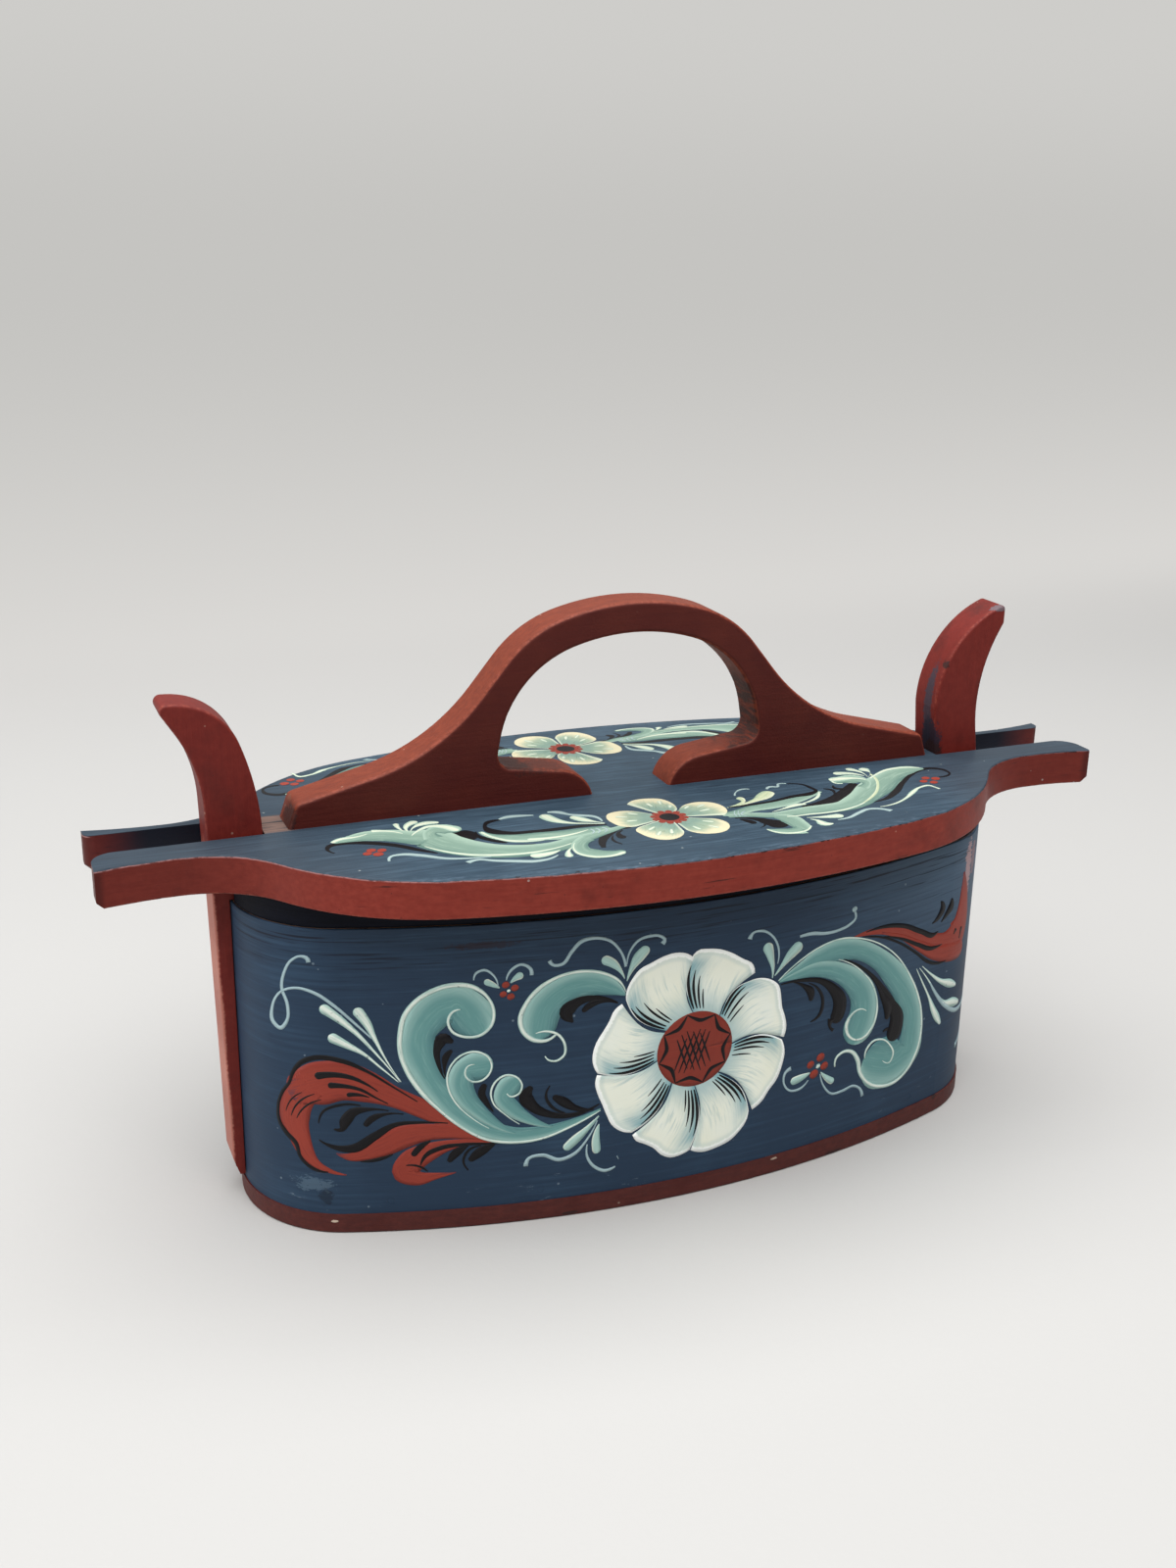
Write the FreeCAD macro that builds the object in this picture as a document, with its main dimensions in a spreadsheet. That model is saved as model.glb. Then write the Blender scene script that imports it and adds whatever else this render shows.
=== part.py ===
import FreeCAD, Part
import math
import os

from FreeCAD import Placement, Rotation, Vector

# A bentwood lidded box with two springy end posts ("tine").
# Frame: origin on the floor under the middle of the box, +X along the box, +Y to the back, +Z up.
# All sizes in millimetres, all angles in degrees.

os.makedirs("parts", exist_ok=True)
doc = FreeCAD.newDocument("tine")

# ---------------------------------------------------------------- driving sizes
SIZES = {
    # oval of the bentwood band, outside
    "box_half_length": 138.0,
    "box_half_width": 54.5,
    "box_end_radius": 38.0,
    "band_thickness": 3.6,
    "rim_height": 108.0,
    "rim_softening": 0.8,
    # lap seam at the back
    "lap_half_length": 28.0,
    "lap_step": 1.2,
    # oval bottom board with its rebated plug
    "base_edge_height": 7.0,
    "base_proud": 0.5,
    "base_plug_height": 9.0,
    "plug_clearance": 0.15,
    "base_softening": 0.8,
    # round pegs that hold the band to the plug
    "base_peg_radius": 1.2,
    "base_peg_grip": 6.0,
    "base_peg_x_outer": 98.0,
    "base_peg_x_inner": 50.0,
    "peg_fit": 0.05,
    # root stitches through the lap
    "stitch_radius": 1.0,
    "stitch_thickness": 0.9,
    "stitch_spread": 9.0,
    "stitch_pitch": 13.0,
    "stitch_lowest": 22.0,
    # middle line of posts, slots and handle, behind the middle of the lid
    "row_offset": 4.0,
    # end posts: tails alike, each horn sawn and carved by hand to its own shape
    "post_thickness": 14.0,
    "tail_top_thickness": 5.2,
    "tail_low_thickness": 3.6,
    "tail_bottom": 8.6,
    "tail_bevel_height": 6.0,
    "tail_bevel_depth": 2.0,
    "post_seat_gap": 0.3,
    "step_gap": 0.5,
    "post_softening": 1.0,
    "left_grip_reach": 11.6,
    "left_grip_lean": 0.0,
    "left_grip_height": 10.0,
    "left_nose_radius": 95.0,
    "left_nose_angle": 20.3,
    "left_crown_radius": 21.8,
    "left_crown_angle": 68.0,
    "left_crown_run": 1.6,
    "left_tip_radius": 2.2,
    "left_tip_end": 0.0,
    "left_back_run": 7.0,
    "left_back_radius": 50.0,
    "left_back_angle": 32.0,
    "right_grip_reach": 14.8,
    "right_grip_lean": 2.4,
    "right_grip_height": 30.0,
    "right_nose_radius": 40.0,
    "right_nose_angle": 36.0,
    "right_crown_radius": 38.0,
    "right_crown_angle": 33.0,
    "right_crown_run": 0.0,
    "right_tip_radius": 1.5,
    "right_tip_end": 4.6,
    "right_back_run": 3.0,
    "right_back_radius": 60.0,
    "right_back_angle": 28.0,
    "post_peg_radius": 1.6,
    "post_peg_height": 11.5,
    "post_peg_spread": 3.6,
    "post_peg_grip": 6.0,
    "post_peg_play": 0.4,
    # lid board
    "lid_half_length": 180.0,
    "lid_half_width": 70.3,
    "lid_thickness": 12.8,
    "lid_side_radius": 357.0,
    "lid_shoulder_radius": 76.0,
    "lid_neck_radius": 34.0,
    "lid_prong_length": 25.0,
    "lid_neck_half_width": 15.6,
    "lid_tip_half_width": 18.4,
    "slot_width": 16.5,
    "slot_end_gap": 0.3,
    "near_prong_round": 7.5,
    "far_prong_round": 3.6,
    "tip_bevel": 2.4,
    "lid_softening": 0.7,
    # plate under the lid
    "plate_height": 9.0,
    "plate_inset": 0.8,
    "plate_plug_height": 5.0,
    "plate_plug_clearance": 0.8,
    "rim_gap": 0.2,
    "lid_brad_radius": 0.7,
    "lid_brad_length": 20.0,
    "lid_brad_x": 72.0,
    "lid_brad_y": 24.0,
    # handle
    "handle_thickness": 15.0,
    "handle_height": 65.7,
    "handle_crown_radius": 85.0,
    "handle_crown_angle": 17.0,
    "handle_shoulder_radius": 42.0,
    "handle_shoulder_angle": 34.0,
    "handle_fall": 13.0,
    "handle_sweep_radius": 70.0,
    "handle_post_gap": 4.8,
    "handle_foot_height": 8.2,
    "handle_foot_lean": 2.8,
    "handle_foot_round": 2.5,
    "opening_height": 55.2,
    "opening_crown_radius": 70.0,
    "opening_crown_angle": 18.0,
    "opening_corner_radius": 37.5,
    "opening_corner_angle": 62.0,
    "opening_heel_radius": 5.0,
    "toe_lean_angle": 8.0,
    "toe_run": 18.5,
    "toe_round": 13.5,
    "toe_angle": 67.0,
    "handle_softening": 1.4,
    # screws from under the lid into the handle
    "screw_radius": 1.8,
    "screw_head_radius": 3.6,
    "screw_head_height": 2.6,
    "screw_grip": 6.5,
    "screw_tip_height": 4.0,
    "screw_slot_width": 0.9,
    "screw_slot_depth": 1.0,
    "screw_from_foot": 21.4,
    "screw_from_opening": 6.5,
}

sheet = doc.addObject("Spreadsheet::Sheet", "Sizes")
for row, (alias, value) in enumerate(SIZES.items(), start=1):
    sheet.set(f"A{row}", alias)
    sheet.set(f"B{row}", str(value))
    sheet.setAlias(f"B{row}", alias)
doc.recompute()


def size(alias):
    """The value that the sheet holds under an alias."""
    return float(sheet.get(alias))


# ---------------------------------------------------------------- outlines
class Outline:
    """A pen that walks a flat outline in straight runs and tangent arcs."""

    def __init__(self, x, y, heading):
        self.x, self.y, self.heading = x, y, heading
        self.pieces = []

    def run(self, length):
        """A straight run along the heading."""
        angle = math.radians(self.heading)
        return self.to(self.x + length * math.cos(angle), self.y + length * math.sin(angle))

    def to(self, x, y):
        """A straight run to a point, without a change of heading."""
        if math.hypot(x - self.x, y - self.y) > 1e-6:
            self.pieces.append(((self.x, self.y), (x, y)))
        self.x, self.y = x, y
        return self

    def bend(self, radius, turn):
        """A tangent arc; a positive turn goes to the left."""
        side = 1.0 if turn > 0 else -1.0
        angle = math.radians(self.heading)
        centre_x = self.x - side * radius * math.sin(angle)
        centre_y = self.y + side * radius * math.cos(angle)
        points = [(self.x, self.y)]
        for share in (0.5, 1.0):
            swept = angle + share * math.radians(turn)
            points.append((centre_x + side * radius * math.sin(swept),
                           centre_y - side * radius * math.cos(swept)))
        self.pieces.append(tuple(points))
        self.x, self.y = points[-1]
        self.heading += turn
        return self

    def aim(self, radius, x, y):
        """A tangent arc to the left that ends where its heading points at (x, y)."""
        angle = math.radians(self.heading)
        dx = x - (self.x - radius * math.sin(angle))
        dy = y - (self.y + radius * math.cos(angle))
        spoke = math.degrees(math.atan2(dy, dx) - math.acos(radius / math.hypot(dx, dy)))
        return self.bend(radius, (spoke + 90 - self.heading) % 360)

    def face(self, heading):
        """Turn on the spot, for a sharp corner."""
        self.heading = heading
        return self


def mirrored(pieces, flip_x=True):
    """The pieces of an outline on the other side of the middle line, walked the other way."""
    sign_x, sign_y = (-1, 1) if flip_x else (1, -1)
    return [tuple((sign_x * x, sign_y * y) for x, y in reversed(piece)) for piece in reversed(pieces)]


def curves(pieces):
    """Sketch geometry for outline pieces: two points are a line, three are an arc."""
    result = []
    for piece in pieces:
        points = [Vector(x, y, 0) for x, y in piece]
        result.append(Part.LineSegment(*points) if len(points) == 2 else Part.Arc(*points))
    return result


class Oval:
    """A four-centre oval: two end arcs and two flatter side arcs, all tangent."""

    def __init__(self, half_length, half_width, end_radius):
        self.half_length, self.half_width, self.end_radius = half_length, half_width, end_radius
        self.end_centre = half_length - end_radius
        excess = half_width - end_radius
        self.side_radius = (self.end_centre ** 2 + half_width ** 2 - end_radius ** 2) / (2 * excess)
        self.side_centre = self.side_radius - half_width
        self.end_turn = 2 * math.degrees(math.atan2(self.side_centre, self.end_centre))

    def inset(self, distance):
        """The parallel oval inside this one."""
        return Oval(self.half_length - distance, self.half_width - distance, self.end_radius - distance)

    def pieces(self):
        """The four arcs, starting at the right end of the back."""
        joint = math.radians(self.end_turn / 2)
        pen = Outline(self.end_centre + self.end_radius * math.cos(joint),
                      self.end_radius * math.sin(joint), 90 + self.end_turn / 2)
        side_turn = 180 - self.end_turn
        for radius, turn in ((self.side_radius, side_turn), (self.end_radius, self.end_turn)) * 2:
            pen.bend(radius, turn)
        return pen.pieces

    def spot(self, x, side):
        """The point of a side arc above x, and the direction of its outward normal."""
        rise = math.sqrt(self.side_radius ** 2 - x ** 2)
        return Vector(x, side * (rise - self.side_centre), 0), Vector(x, side * rise, 0).normalize()


# ---------------------------------------------------------------- building blocks
def new_body(label):
    body = doc.addObject("PartDesign::Body", label + "_body")
    return body


def plane_of(body, role):
    return next(item for item in body.Origin.OriginFeatures if item.Role == role)


def add_sketch(body, name, role, pieces, offset=Placement()):
    """A sketch on one of the body's origin planes."""
    sketch = body.newObject("Sketcher::SketchObject", name)
    sketch.AttachmentSupport = (plane_of(body, role), "")
    sketch.MapMode = "FlatFace"
    sketch.AttachmentOffset = offset
    sketch.addGeometry(curves(pieces), False)
    return sketch


def add_pad(body, sketch, length, midplane=False):
    pad = body.newObject("PartDesign::Pad", sketch.Name + "_pad")
    pad.Profile = sketch
    pad.setExpression("Length", length)
    pad.Midplane = midplane
    body.Tip = pad
    doc.recompute()
    return pad


def add_pocket(body, sketch, length, midplane=False, upward=False):
    """A pocket whose direction is checked by the volume that it takes away."""
    before = body.Shape.Volume
    pocket = body.newObject("PartDesign::Pocket", sketch.Name + "_pocket")
    pocket.Profile = sketch
    pocket.setExpression("Length", length)
    pocket.Midplane = midplane
    pocket.Reversed = upward
    body.Tip = pocket
    doc.recompute()
    assert pocket.Shape.Volume < before - 1.0, f"{pocket.Name} cuts nothing"
    return pocket


def soften(body, wanted, radius, kind="Fillet"):
    """Fillet or chamfer the edges of a body that the test picks."""
    base = body.Tip
    names = [f"Edge{number}" for number, edge in enumerate(base.Shape.Edges, start=1) if wanted(edge)]
    assert names, f"{body.Name} has no edge to soften"
    feature = body.newObject("PartDesign::" + kind, base.Name + "_" + kind.lower())
    feature.Base = (base, names)
    feature.setExpression("Radius" if kind == "Fillet" else "Size", radius)
    body.Tip = feature
    doc.recompute()
    return feature


def peg(name, centre, direction, radius, length):
    """A round peg that starts at a point and runs along a direction."""
    item = doc.addObject("Part::Cylinder", name)
    item.setExpression("Radius", radius)
    item.setExpression("Height", length)
    item.Placement = Placement(centre, Rotation(Vector(0, 0, 1), direction))
    return item


def group(label, items):
    compound = doc.addObject("Part::Compound", label)
    compound.Links = items
    compound.Label = label
    doc.recompute()
    return compound


def cut(label, base, tools):
    """Take tools away from a base, one boolean for each."""
    for number, tool in enumerate(tools):
        feature = doc.addObject("Part::Cut", f"{label}_cut{number}")
        feature.Base, feature.Tool = base, tool
        doc.recompute()
        base = feature
    base.Label = label
    return base


def flat_at(edge, z):
    """True for an edge that lies in the level z."""
    return abs(edge.BoundBox.ZMin - z) < 1e-4 and abs(edge.BoundBox.ZMax - z) < 1e-4


def upright(edge):
    return edge.BoundBox.ZLength > 1.0 and edge.BoundBox.XLength < 1e-3 and edge.BoundBox.YLength < 1e-3


# ---------------------------------------------------------------- heights and ovals worked out once
box_oval = Oval(size("box_half_length"), size("box_half_width"), size("box_end_radius"))
inner_oval = box_oval.inset(size("band_thickness"))
plate_bottom = size("rim_height") + size("rim_gap")
lid_bottom = size("rim_height") + size("plate_height")
lid_top = lid_bottom + size("lid_thickness")
row_y = size("row_offset")
tail_outer_x = size("box_half_length") + size("post_seat_gap") + size("tail_low_thickness")


class Horn:
    """The shape of one post above the rim, in distances from the middle of the box."""

    def __init__(self, side, name):
        self.side, self.name = side, name
        self.grip_x = size("box_half_length") - self.own("grip_reach")

    def own(self, alias):
        """A value that belongs to this post alone."""
        return size(f"{self.name}_{alias}")

    def grip_face(self, z):
        """Distance of the gripping face from the middle at a height: upright, then leaning in."""
        share = max(0.0, z - lid_bottom) / self.own("grip_height")
        return self.grip_x - share * self.own("grip_lean")

    def mirror(self, pieces):
        """Outline pieces turned to this post's end of the box."""
        return pieces if self.side > 0 else mirrored(pieces)

    def profile(self):
        """The sawn outline: gripping face, horn, and the back of the thin tail."""
        bottom, waist = size("tail_bottom"), lid_bottom + self.own("grip_height")
        pen = Outline(self.grip_x, bottom, 90).to(self.grip_x, lid_bottom).to(self.grip_face(waist), waist)
        pen.face(90).bend(self.own("nose_radius"), -self.own("nose_angle"))
        pen.bend(self.own("crown_radius"), -self.own("crown_angle")).run(self.own("crown_run"))
        pen.bend(self.own("tip_radius"), -90 - pen.heading).run(self.own("tip_end"))
        pen.bend(self.own("tip_radius"), -self.own("back_angle")).run(self.own("back_run"))
        tail_top_x = size("box_half_length") + size("post_seat_gap") + size("tail_top_thickness")
        pen.aim(self.own("back_radius"), tail_top_x, size("rim_height")).to(tail_top_x, size("rim_height"))
        pen.to(tail_outer_x, bottom + size("tail_bevel_height"))
        pen.to(tail_outer_x - size("tail_bevel_depth"), bottom).to(self.grip_x, bottom)
        return self.mirror(pen.pieces)

    def slot(self):
        """Side view of the open slot for this post, its end parallel to the gripping face."""
        gap, wide = size("slot_end_gap"), size("lid_half_length") + 5
        low, high = size("rim_height") - size("plate_plug_height") - 5, lid_top + 5
        pen = Outline(self.grip_x - gap, low, 0).to(wide, low).to(wide, high)
        pen.to(self.grip_face(high) - gap, high).to(self.grip_x - gap, lid_bottom)
        return self.mirror(pen.to(self.grip_x - gap, low).pieces)


horns = (Horn(-1, "left"), Horn(1, "right"))
# the handle's feet stop short of the nearer post
handle_reach = min(horn.grip_x for horn in horns) - size("handle_post_gap")


# ---------------------------------------------------------------- pegs between band and base
def make_base_pegs():
    """Eight pegs on the long sides, half-way up the plug, and the bores that they sit in."""
    height = size("base_edge_height") + size("base_plug_height") / 2
    pegs, bores = [], []
    spots = [(sign * size(alias), side) for side in (-1, 1) for sign in (-1, 1)
             for alias in ("base_peg_x_outer", "base_peg_x_inner")]
    for number, (x, side) in enumerate(spots):
        point, normal = box_oval.spot(x, side)
        deep = point + Vector(0, 0, height) - normal * (size("band_thickness") + size("base_peg_grip"))
        full = "Sizes.band_thickness + Sizes.base_peg_grip"
        pegs.append(peg(f"base_peg{number}", deep, normal, "Sizes.base_peg_radius", full + " - 0.05"))
        bores.append(peg(f"base_bore{number}", deep, normal,
                         "Sizes.base_peg_radius + Sizes.peg_fit", full + " + Sizes.lap_step + 1"))
    return group("base_pegs", pegs), group("base_bores", bores)


def make_post_pegs(side, name):
    """Two pegs through the foot of a post, the band and into the plug."""
    share = (size("post_peg_height") - size("tail_bottom")) / size("tail_bevel_height")
    peg_end_x = tail_outer_x - size("tail_bevel_depth") * (1 - share)
    reach = "Sizes.post_seat_gap + Sizes.tail_low_thickness + Sizes.band_thickness + Sizes.post_peg_grip"
    inward = Vector(-side, 0, 0)
    pegs, bores, holes = [], [], []
    for number, sign in enumerate((-1, 1)):
        y = row_y + sign * size("post_peg_spread")
        start = Vector(side * (peg_end_x - 0.2), y, size("post_peg_height"))
        pegs.append(peg(f"peg_{name}{number}", start, inward, "Sizes.post_peg_radius", reach + " - 0.2"))
        bores.append(peg(f"bore_{name}{number}", start, inward,
                         "Sizes.post_peg_radius + Sizes.peg_fit", reach + " - 0.2"))
        holes.append(peg(f"hole_{name}{number}", start + Vector(side * 2, 0, 0), inward,
                         "Sizes.post_peg_radius + Sizes.post_peg_play", "Sizes.tail_low_thickness + 4"))
    return (group(f"post_pegs_{name}", pegs), group(f"post_bores_{name}", bores),
            group(f"post_holes_{name}", holes))


# ---------------------------------------------------------------- bottom board
def make_base(tools):
    body = new_body("base_board")
    edge_oval = box_oval.inset(-size("base_proud"))
    add_pad(body, add_sketch(body, "base_edge", "XY_Plane", edge_oval.pieces()), "Sizes.base_edge_height")
    plug_oval = inner_oval.inset(size("plug_clearance"))
    add_pad(body, add_sketch(body, "base_plug", "XY_Plane", plug_oval.pieces()),
            "Sizes.base_edge_height + Sizes.base_plug_height")
    soften(body, lambda edge: flat_at(edge, 0), "Sizes.base_softening")
    return cut("base_board", body, tools)


# ---------------------------------------------------------------- bentwood band and its seam
def lap_outline():
    """The band's outside: the oval, with the outer end of the strip lying over the inner one."""
    reach = size("lap_half_length")
    start, _ = box_oval.spot(-reach, 1)
    end, _ = box_oval.spot(reach, 1)
    lift = math.atan2(size("lap_step"), 2 * reach)
    pieces = box_oval.pieces()
    first = pieces[0]
    centre = Vector(0, -box_oval.side_centre, 0)
    tilted = start + Rotation(Vector(0, 0, 1), math.degrees(lift)).multVec(centre - start)
    return first, pieces[1:], start, end, tilted


def on_circle(centre, radius, x):
    """The upper point of a circle above x."""
    return Vector(x, centre.y + math.sqrt(radius ** 2 - (x - centre.x) ** 2), 0)


def make_band(tools):
    body = new_body("side_band")
    first, rest, start, end, tilted = lap_outline()
    radius = box_oval.side_radius
    centre = Vector(0, -box_oval.side_centre, 0)
    raised = on_circle(tilted, radius, end.x)
    right = Vector(first[0][0], first[0][1], 0)
    left = Vector(first[-1][0], first[-1][1], 0)
    outside = [
        tuple(tuple(point)[:2] for point in (right, on_circle(centre, radius, (right.x + end.x) / 2), end)),
        (tuple(end)[:2], tuple(raised)[:2]),
        tuple(tuple(point)[:2] for point in (raised, on_circle(tilted, radius, 0), start)),
        tuple(tuple(point)[:2] for point in (start, on_circle(centre, radius, (left.x + start.x) / 2), left)),
    ] + rest
    base_level = Placement(Vector(0, 0, size("base_edge_height")), Rotation())
    sketch = add_sketch(body, "band_ring", "XY_Plane", outside + inner_oval.pieces(), base_level)
    add_pad(body, sketch, "Sizes.rim_height - Sizes.base_edge_height")
    soften(body, lambda edge: flat_at(edge, size("rim_height")) and edge.Length > 3, "Sizes.rim_softening / 2")
    return cut("side_band", body, tools)


def make_lacing():
    """Two running stitches of split root, and the bores through the lap that they need."""
    _, _, _, _, tilted = lap_outline()
    rows = int((size("rim_height") - size("stitch_lowest")) // size("stitch_pitch")) + 1
    width, thick = size("stitch_radius") * 2, size("stitch_thickness")
    threads, bores = [], []
    for column, sign in enumerate((-1, 1)):
        x = sign * size("stitch_spread")
        outer = on_circle(tilted, box_oval.side_radius, x)
        inner, normal = inner_oval.spot(x, 1)
        # the root bends a little from the bore to the face on either side
        turn = Rotation(Vector(0, 1, 0), normal)
        wall = (outer - inner).dot(normal)
        parts = []
        for row in range(rows):
            z = size("stitch_lowest") + row * size("stitch_pitch")
            low = inner - normal * (thick + 0.02) + Vector(0, 0, z)
            parts.append(peg(f"root{column}_{row}", low, normal, "Sizes.stitch_radius",
                             f"{wall + 0.04:.6f} + 2 * Sizes.stitch_thickness"))
            bores.append(peg(f"root_bore{column}_{row}", low - normal, normal,
                             "Sizes.stitch_radius + Sizes.peg_fit", f"{wall + 4:.6f} + 2 * Sizes.stitch_thickness"))
            if row + 1 < rows:
                bar = doc.addObject("Part::Box", f"root_bar{column}_{row}")
                bar.setExpression("Length", "2 * Sizes.stitch_radius")
                bar.setExpression("Width", "Sizes.stitch_thickness")
                bar.setExpression("Height", "Sizes.stitch_pitch")
                if row % 2 == 0:
                    face = outer + normal * 0.02
                else:
                    face = inner - normal * (thick + 0.02)
                corner = face + turn.multVec(Vector(-width / 2, 0, 0)) + Vector(0, 0, z)
                bar.Placement = Placement(corner, turn)
                parts.append(bar)
        thread = doc.addObject("Part::MultiFuse", f"root_thread{column}")
        thread.Shapes = parts
        doc.recompute()
        threads.append(thread)
    return group("seam_lacing", threads), group("seam_bores", bores)


# ---------------------------------------------------------------- end posts
def make_post(horn, holes):
    name, side = horn.name, horn.side
    body = new_body(f"post_{name}")
    # the sketch lies in the XZ plane, whose normal points to the front
    profile = add_sketch(body, f"profile_{name}", "XZ_Plane", horn.profile(),
                         Placement(Vector(0, 0, -row_y), Rotation()))
    add_pad(body, profile, "Sizes.post_thickness", midplane=True)
    # below the rim the inside is hollowed to sit on the round end of the band
    seat_radius = box_oval.end_radius + size("post_seat_gap")
    seat = Outline(side * box_oval.end_centre + seat_radius, 0, 90).bend(seat_radius, 180).bend(seat_radius, 180)
    hollow = add_sketch(body, f"hollow_{name}", "XY_Plane", seat.pieces)
    add_pocket(body, hollow, "Sizes.rim_height + Sizes.step_gap", upward=True)
    front, rear = row_y - size("post_thickness") / 2, row_y + size("post_thickness") / 2

    def on_profile(edge):
        box = edge.BoundBox
        flat = any(abs(box.YMin - y) < 1e-4 and abs(box.YMax - y) < 1e-4 for y in (front, rear))
        return flat and box.ZMin > lid_bottom + 1 or flat and abs(box.Center.x) > box_oval.half_length + 3
    soften(body, on_profile, "Sizes.post_softening")
    return cut(f"post_{name}", body, [holes])


# ---------------------------------------------------------------- lid
def lid_pieces():
    """Side arc, shoulder, hollow neck and flared prong, all tangent, four times mirrored."""
    side_r, shoulder_r, neck_r = (size(f"lid_{part}_radius") for part in ("side", "shoulder", "neck"))
    side_centre = Vector(0, size("lid_half_width") - side_r, 0)
    reach, prong = size("lid_half_length"), size("lid_prong_length")
    neck_centre = Vector(reach - prong, size("lid_neck_half_width") + neck_r, 0)
    # the shoulder's centre is side_r - shoulder_r from one centre and shoulder_r + neck_r from the other
    across = neck_centre - side_centre
    near, far = side_r - shoulder_r, shoulder_r + neck_r
    along = (near ** 2 - far ** 2 + across.Length ** 2) / (2 * across.Length)
    aside = math.sqrt(near ** 2 - along ** 2)
    unit = Vector(across).normalize()
    shoulder_centre = side_centre + unit * along + Vector(-unit.y, unit.x, 0) * aside
    side_end = Vector(shoulder_centre - side_centre).normalize()
    neck_start = Vector(neck_centre - shoulder_centre).normalize()
    side_turn = math.degrees(math.atan2(side_end.x, side_end.y))
    neck_turn = math.degrees(math.atan2(neck_start.x, neck_start.y))
    tip = size("lid_tip_half_width")
    rise = tip - size("lid_neck_half_width")
    flare_radius = (prong ** 2 + rise ** 2) / (2 * rise)
    flare_turn = math.degrees(math.asin(prong / flare_radius))
    start = side_centre + Vector(-side_end.x, side_end.y, 0) * side_r
    pen = Outline(start.x, start.y, side_turn)
    pen.bend(side_r, -2 * side_turn).bend(shoulder_r, side_turn - neck_turn)
    pen.bend(neck_r, neck_turn).bend(flare_radius, flare_turn)
    side_arc, end_arcs = pen.pieces[0], pen.pieces[1:]
    right = end_arcs + [((reach, tip), (reach, -tip))] + mirrored(end_arcs, flip_x=False)
    return [side_arc] + right + mirrored([side_arc], flip_x=False) + mirrored(right)


def cut_slots(body, name):
    sketch = add_sketch(body, name, "XZ_Plane", [piece for horn in horns for piece in horn.slot()],
                        Placement(Vector(0, 0, -row_y), Rotation()))
    return add_pocket(body, sketch, "Sizes.slot_width", midplane=True)


def make_lid(tools):
    body = new_body("lid_board")
    sketch = add_sketch(body, "lid_outline", "XY_Plane", lid_pieces(),
                        Placement(Vector(0, 0, lid_bottom), Rotation()))
    add_pad(body, sketch, "Sizes.lid_thickness")
    cut_slots(body, "lid_slots")
    reach = size("lid_half_length")
    near_y, far_y = row_y - size("slot_width") / 2, row_y + size("slot_width") / 2

    def mouth(y):
        return lambda edge: (upright(edge) and abs(abs(edge.BoundBox.Center.x) - reach) < 0.01
                             and abs(edge.BoundBox.Center.y - y) < 0.01)
    soften(body, mouth(near_y), "Sizes.near_prong_round")
    soften(body, mouth(far_y), "Sizes.far_prong_round")
    soften(body, lambda edge: flat_at(edge, lid_bottom) and edge.BoundBox.XLength < 0.01
           and abs(abs(edge.BoundBox.Center.x) - reach) < 0.01, "Sizes.tip_bevel", kind="Chamfer")
    neck = size("lid_neck_half_width") - 0.2

    def rim(edge):
        box = edge.BoundBox
        return (flat_at(edge, lid_top) or flat_at(edge, lid_bottom)) \
            and min(abs(box.YMin), abs(box.YMax)) > neck and box.XLength > 1
    soften(body, rim, "Sizes.lid_softening")
    return cut("lid_board", body, tools)


def make_plate(tools):
    """The board under the lid: its edge stands on the rim and its plug drops inside the band."""
    body = new_body("lid_plate")
    edge_oval = box_oval.inset(size("plate_inset"))
    level = Placement(Vector(0, 0, plate_bottom), Rotation())
    add_pad(body, add_sketch(body, "plate_edge", "XY_Plane", edge_oval.pieces(), level),
            "Sizes.plate_height - Sizes.rim_gap")
    plug_oval = inner_oval.inset(size("plate_plug_clearance"))
    level = Placement(Vector(0, 0, size("rim_height") - size("plate_plug_height")), Rotation())
    add_pad(body, add_sketch(body, "plate_plug", "XY_Plane", plug_oval.pieces(), level),
            "Sizes.plate_plug_height + Sizes.plate_height / 2")
    cut_slots(body, "plate_slots")
    return cut("lid_plate", body, tools)


def make_brads():
    """Six round nails driven up through the plate into the lid board."""
    low = size("rim_height") - size("plate_plug_height")
    spots = [(sx * size("lid_brad_x"), sy * size("lid_brad_y")) for sx in (-1, 0, 1) for sy in (-1, 1)]
    nails, bores = [], []
    for number, (x, y) in enumerate(spots):
        start = Vector(x, y, low)
        nails.append(peg(f"brad{number}", start, Vector(0, 0, 1), "Sizes.lid_brad_radius",
                         "Sizes.lid_brad_length"))
        bores.append(peg(f"brad_bore{number}", start - Vector(0, 0, 1), Vector(0, 0, 1),
                         "Sizes.lid_brad_radius + Sizes.peg_fit", "Sizes.lid_brad_length + 1"))
    return group("lid_brads", nails), group("brad_bores", bores)


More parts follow.
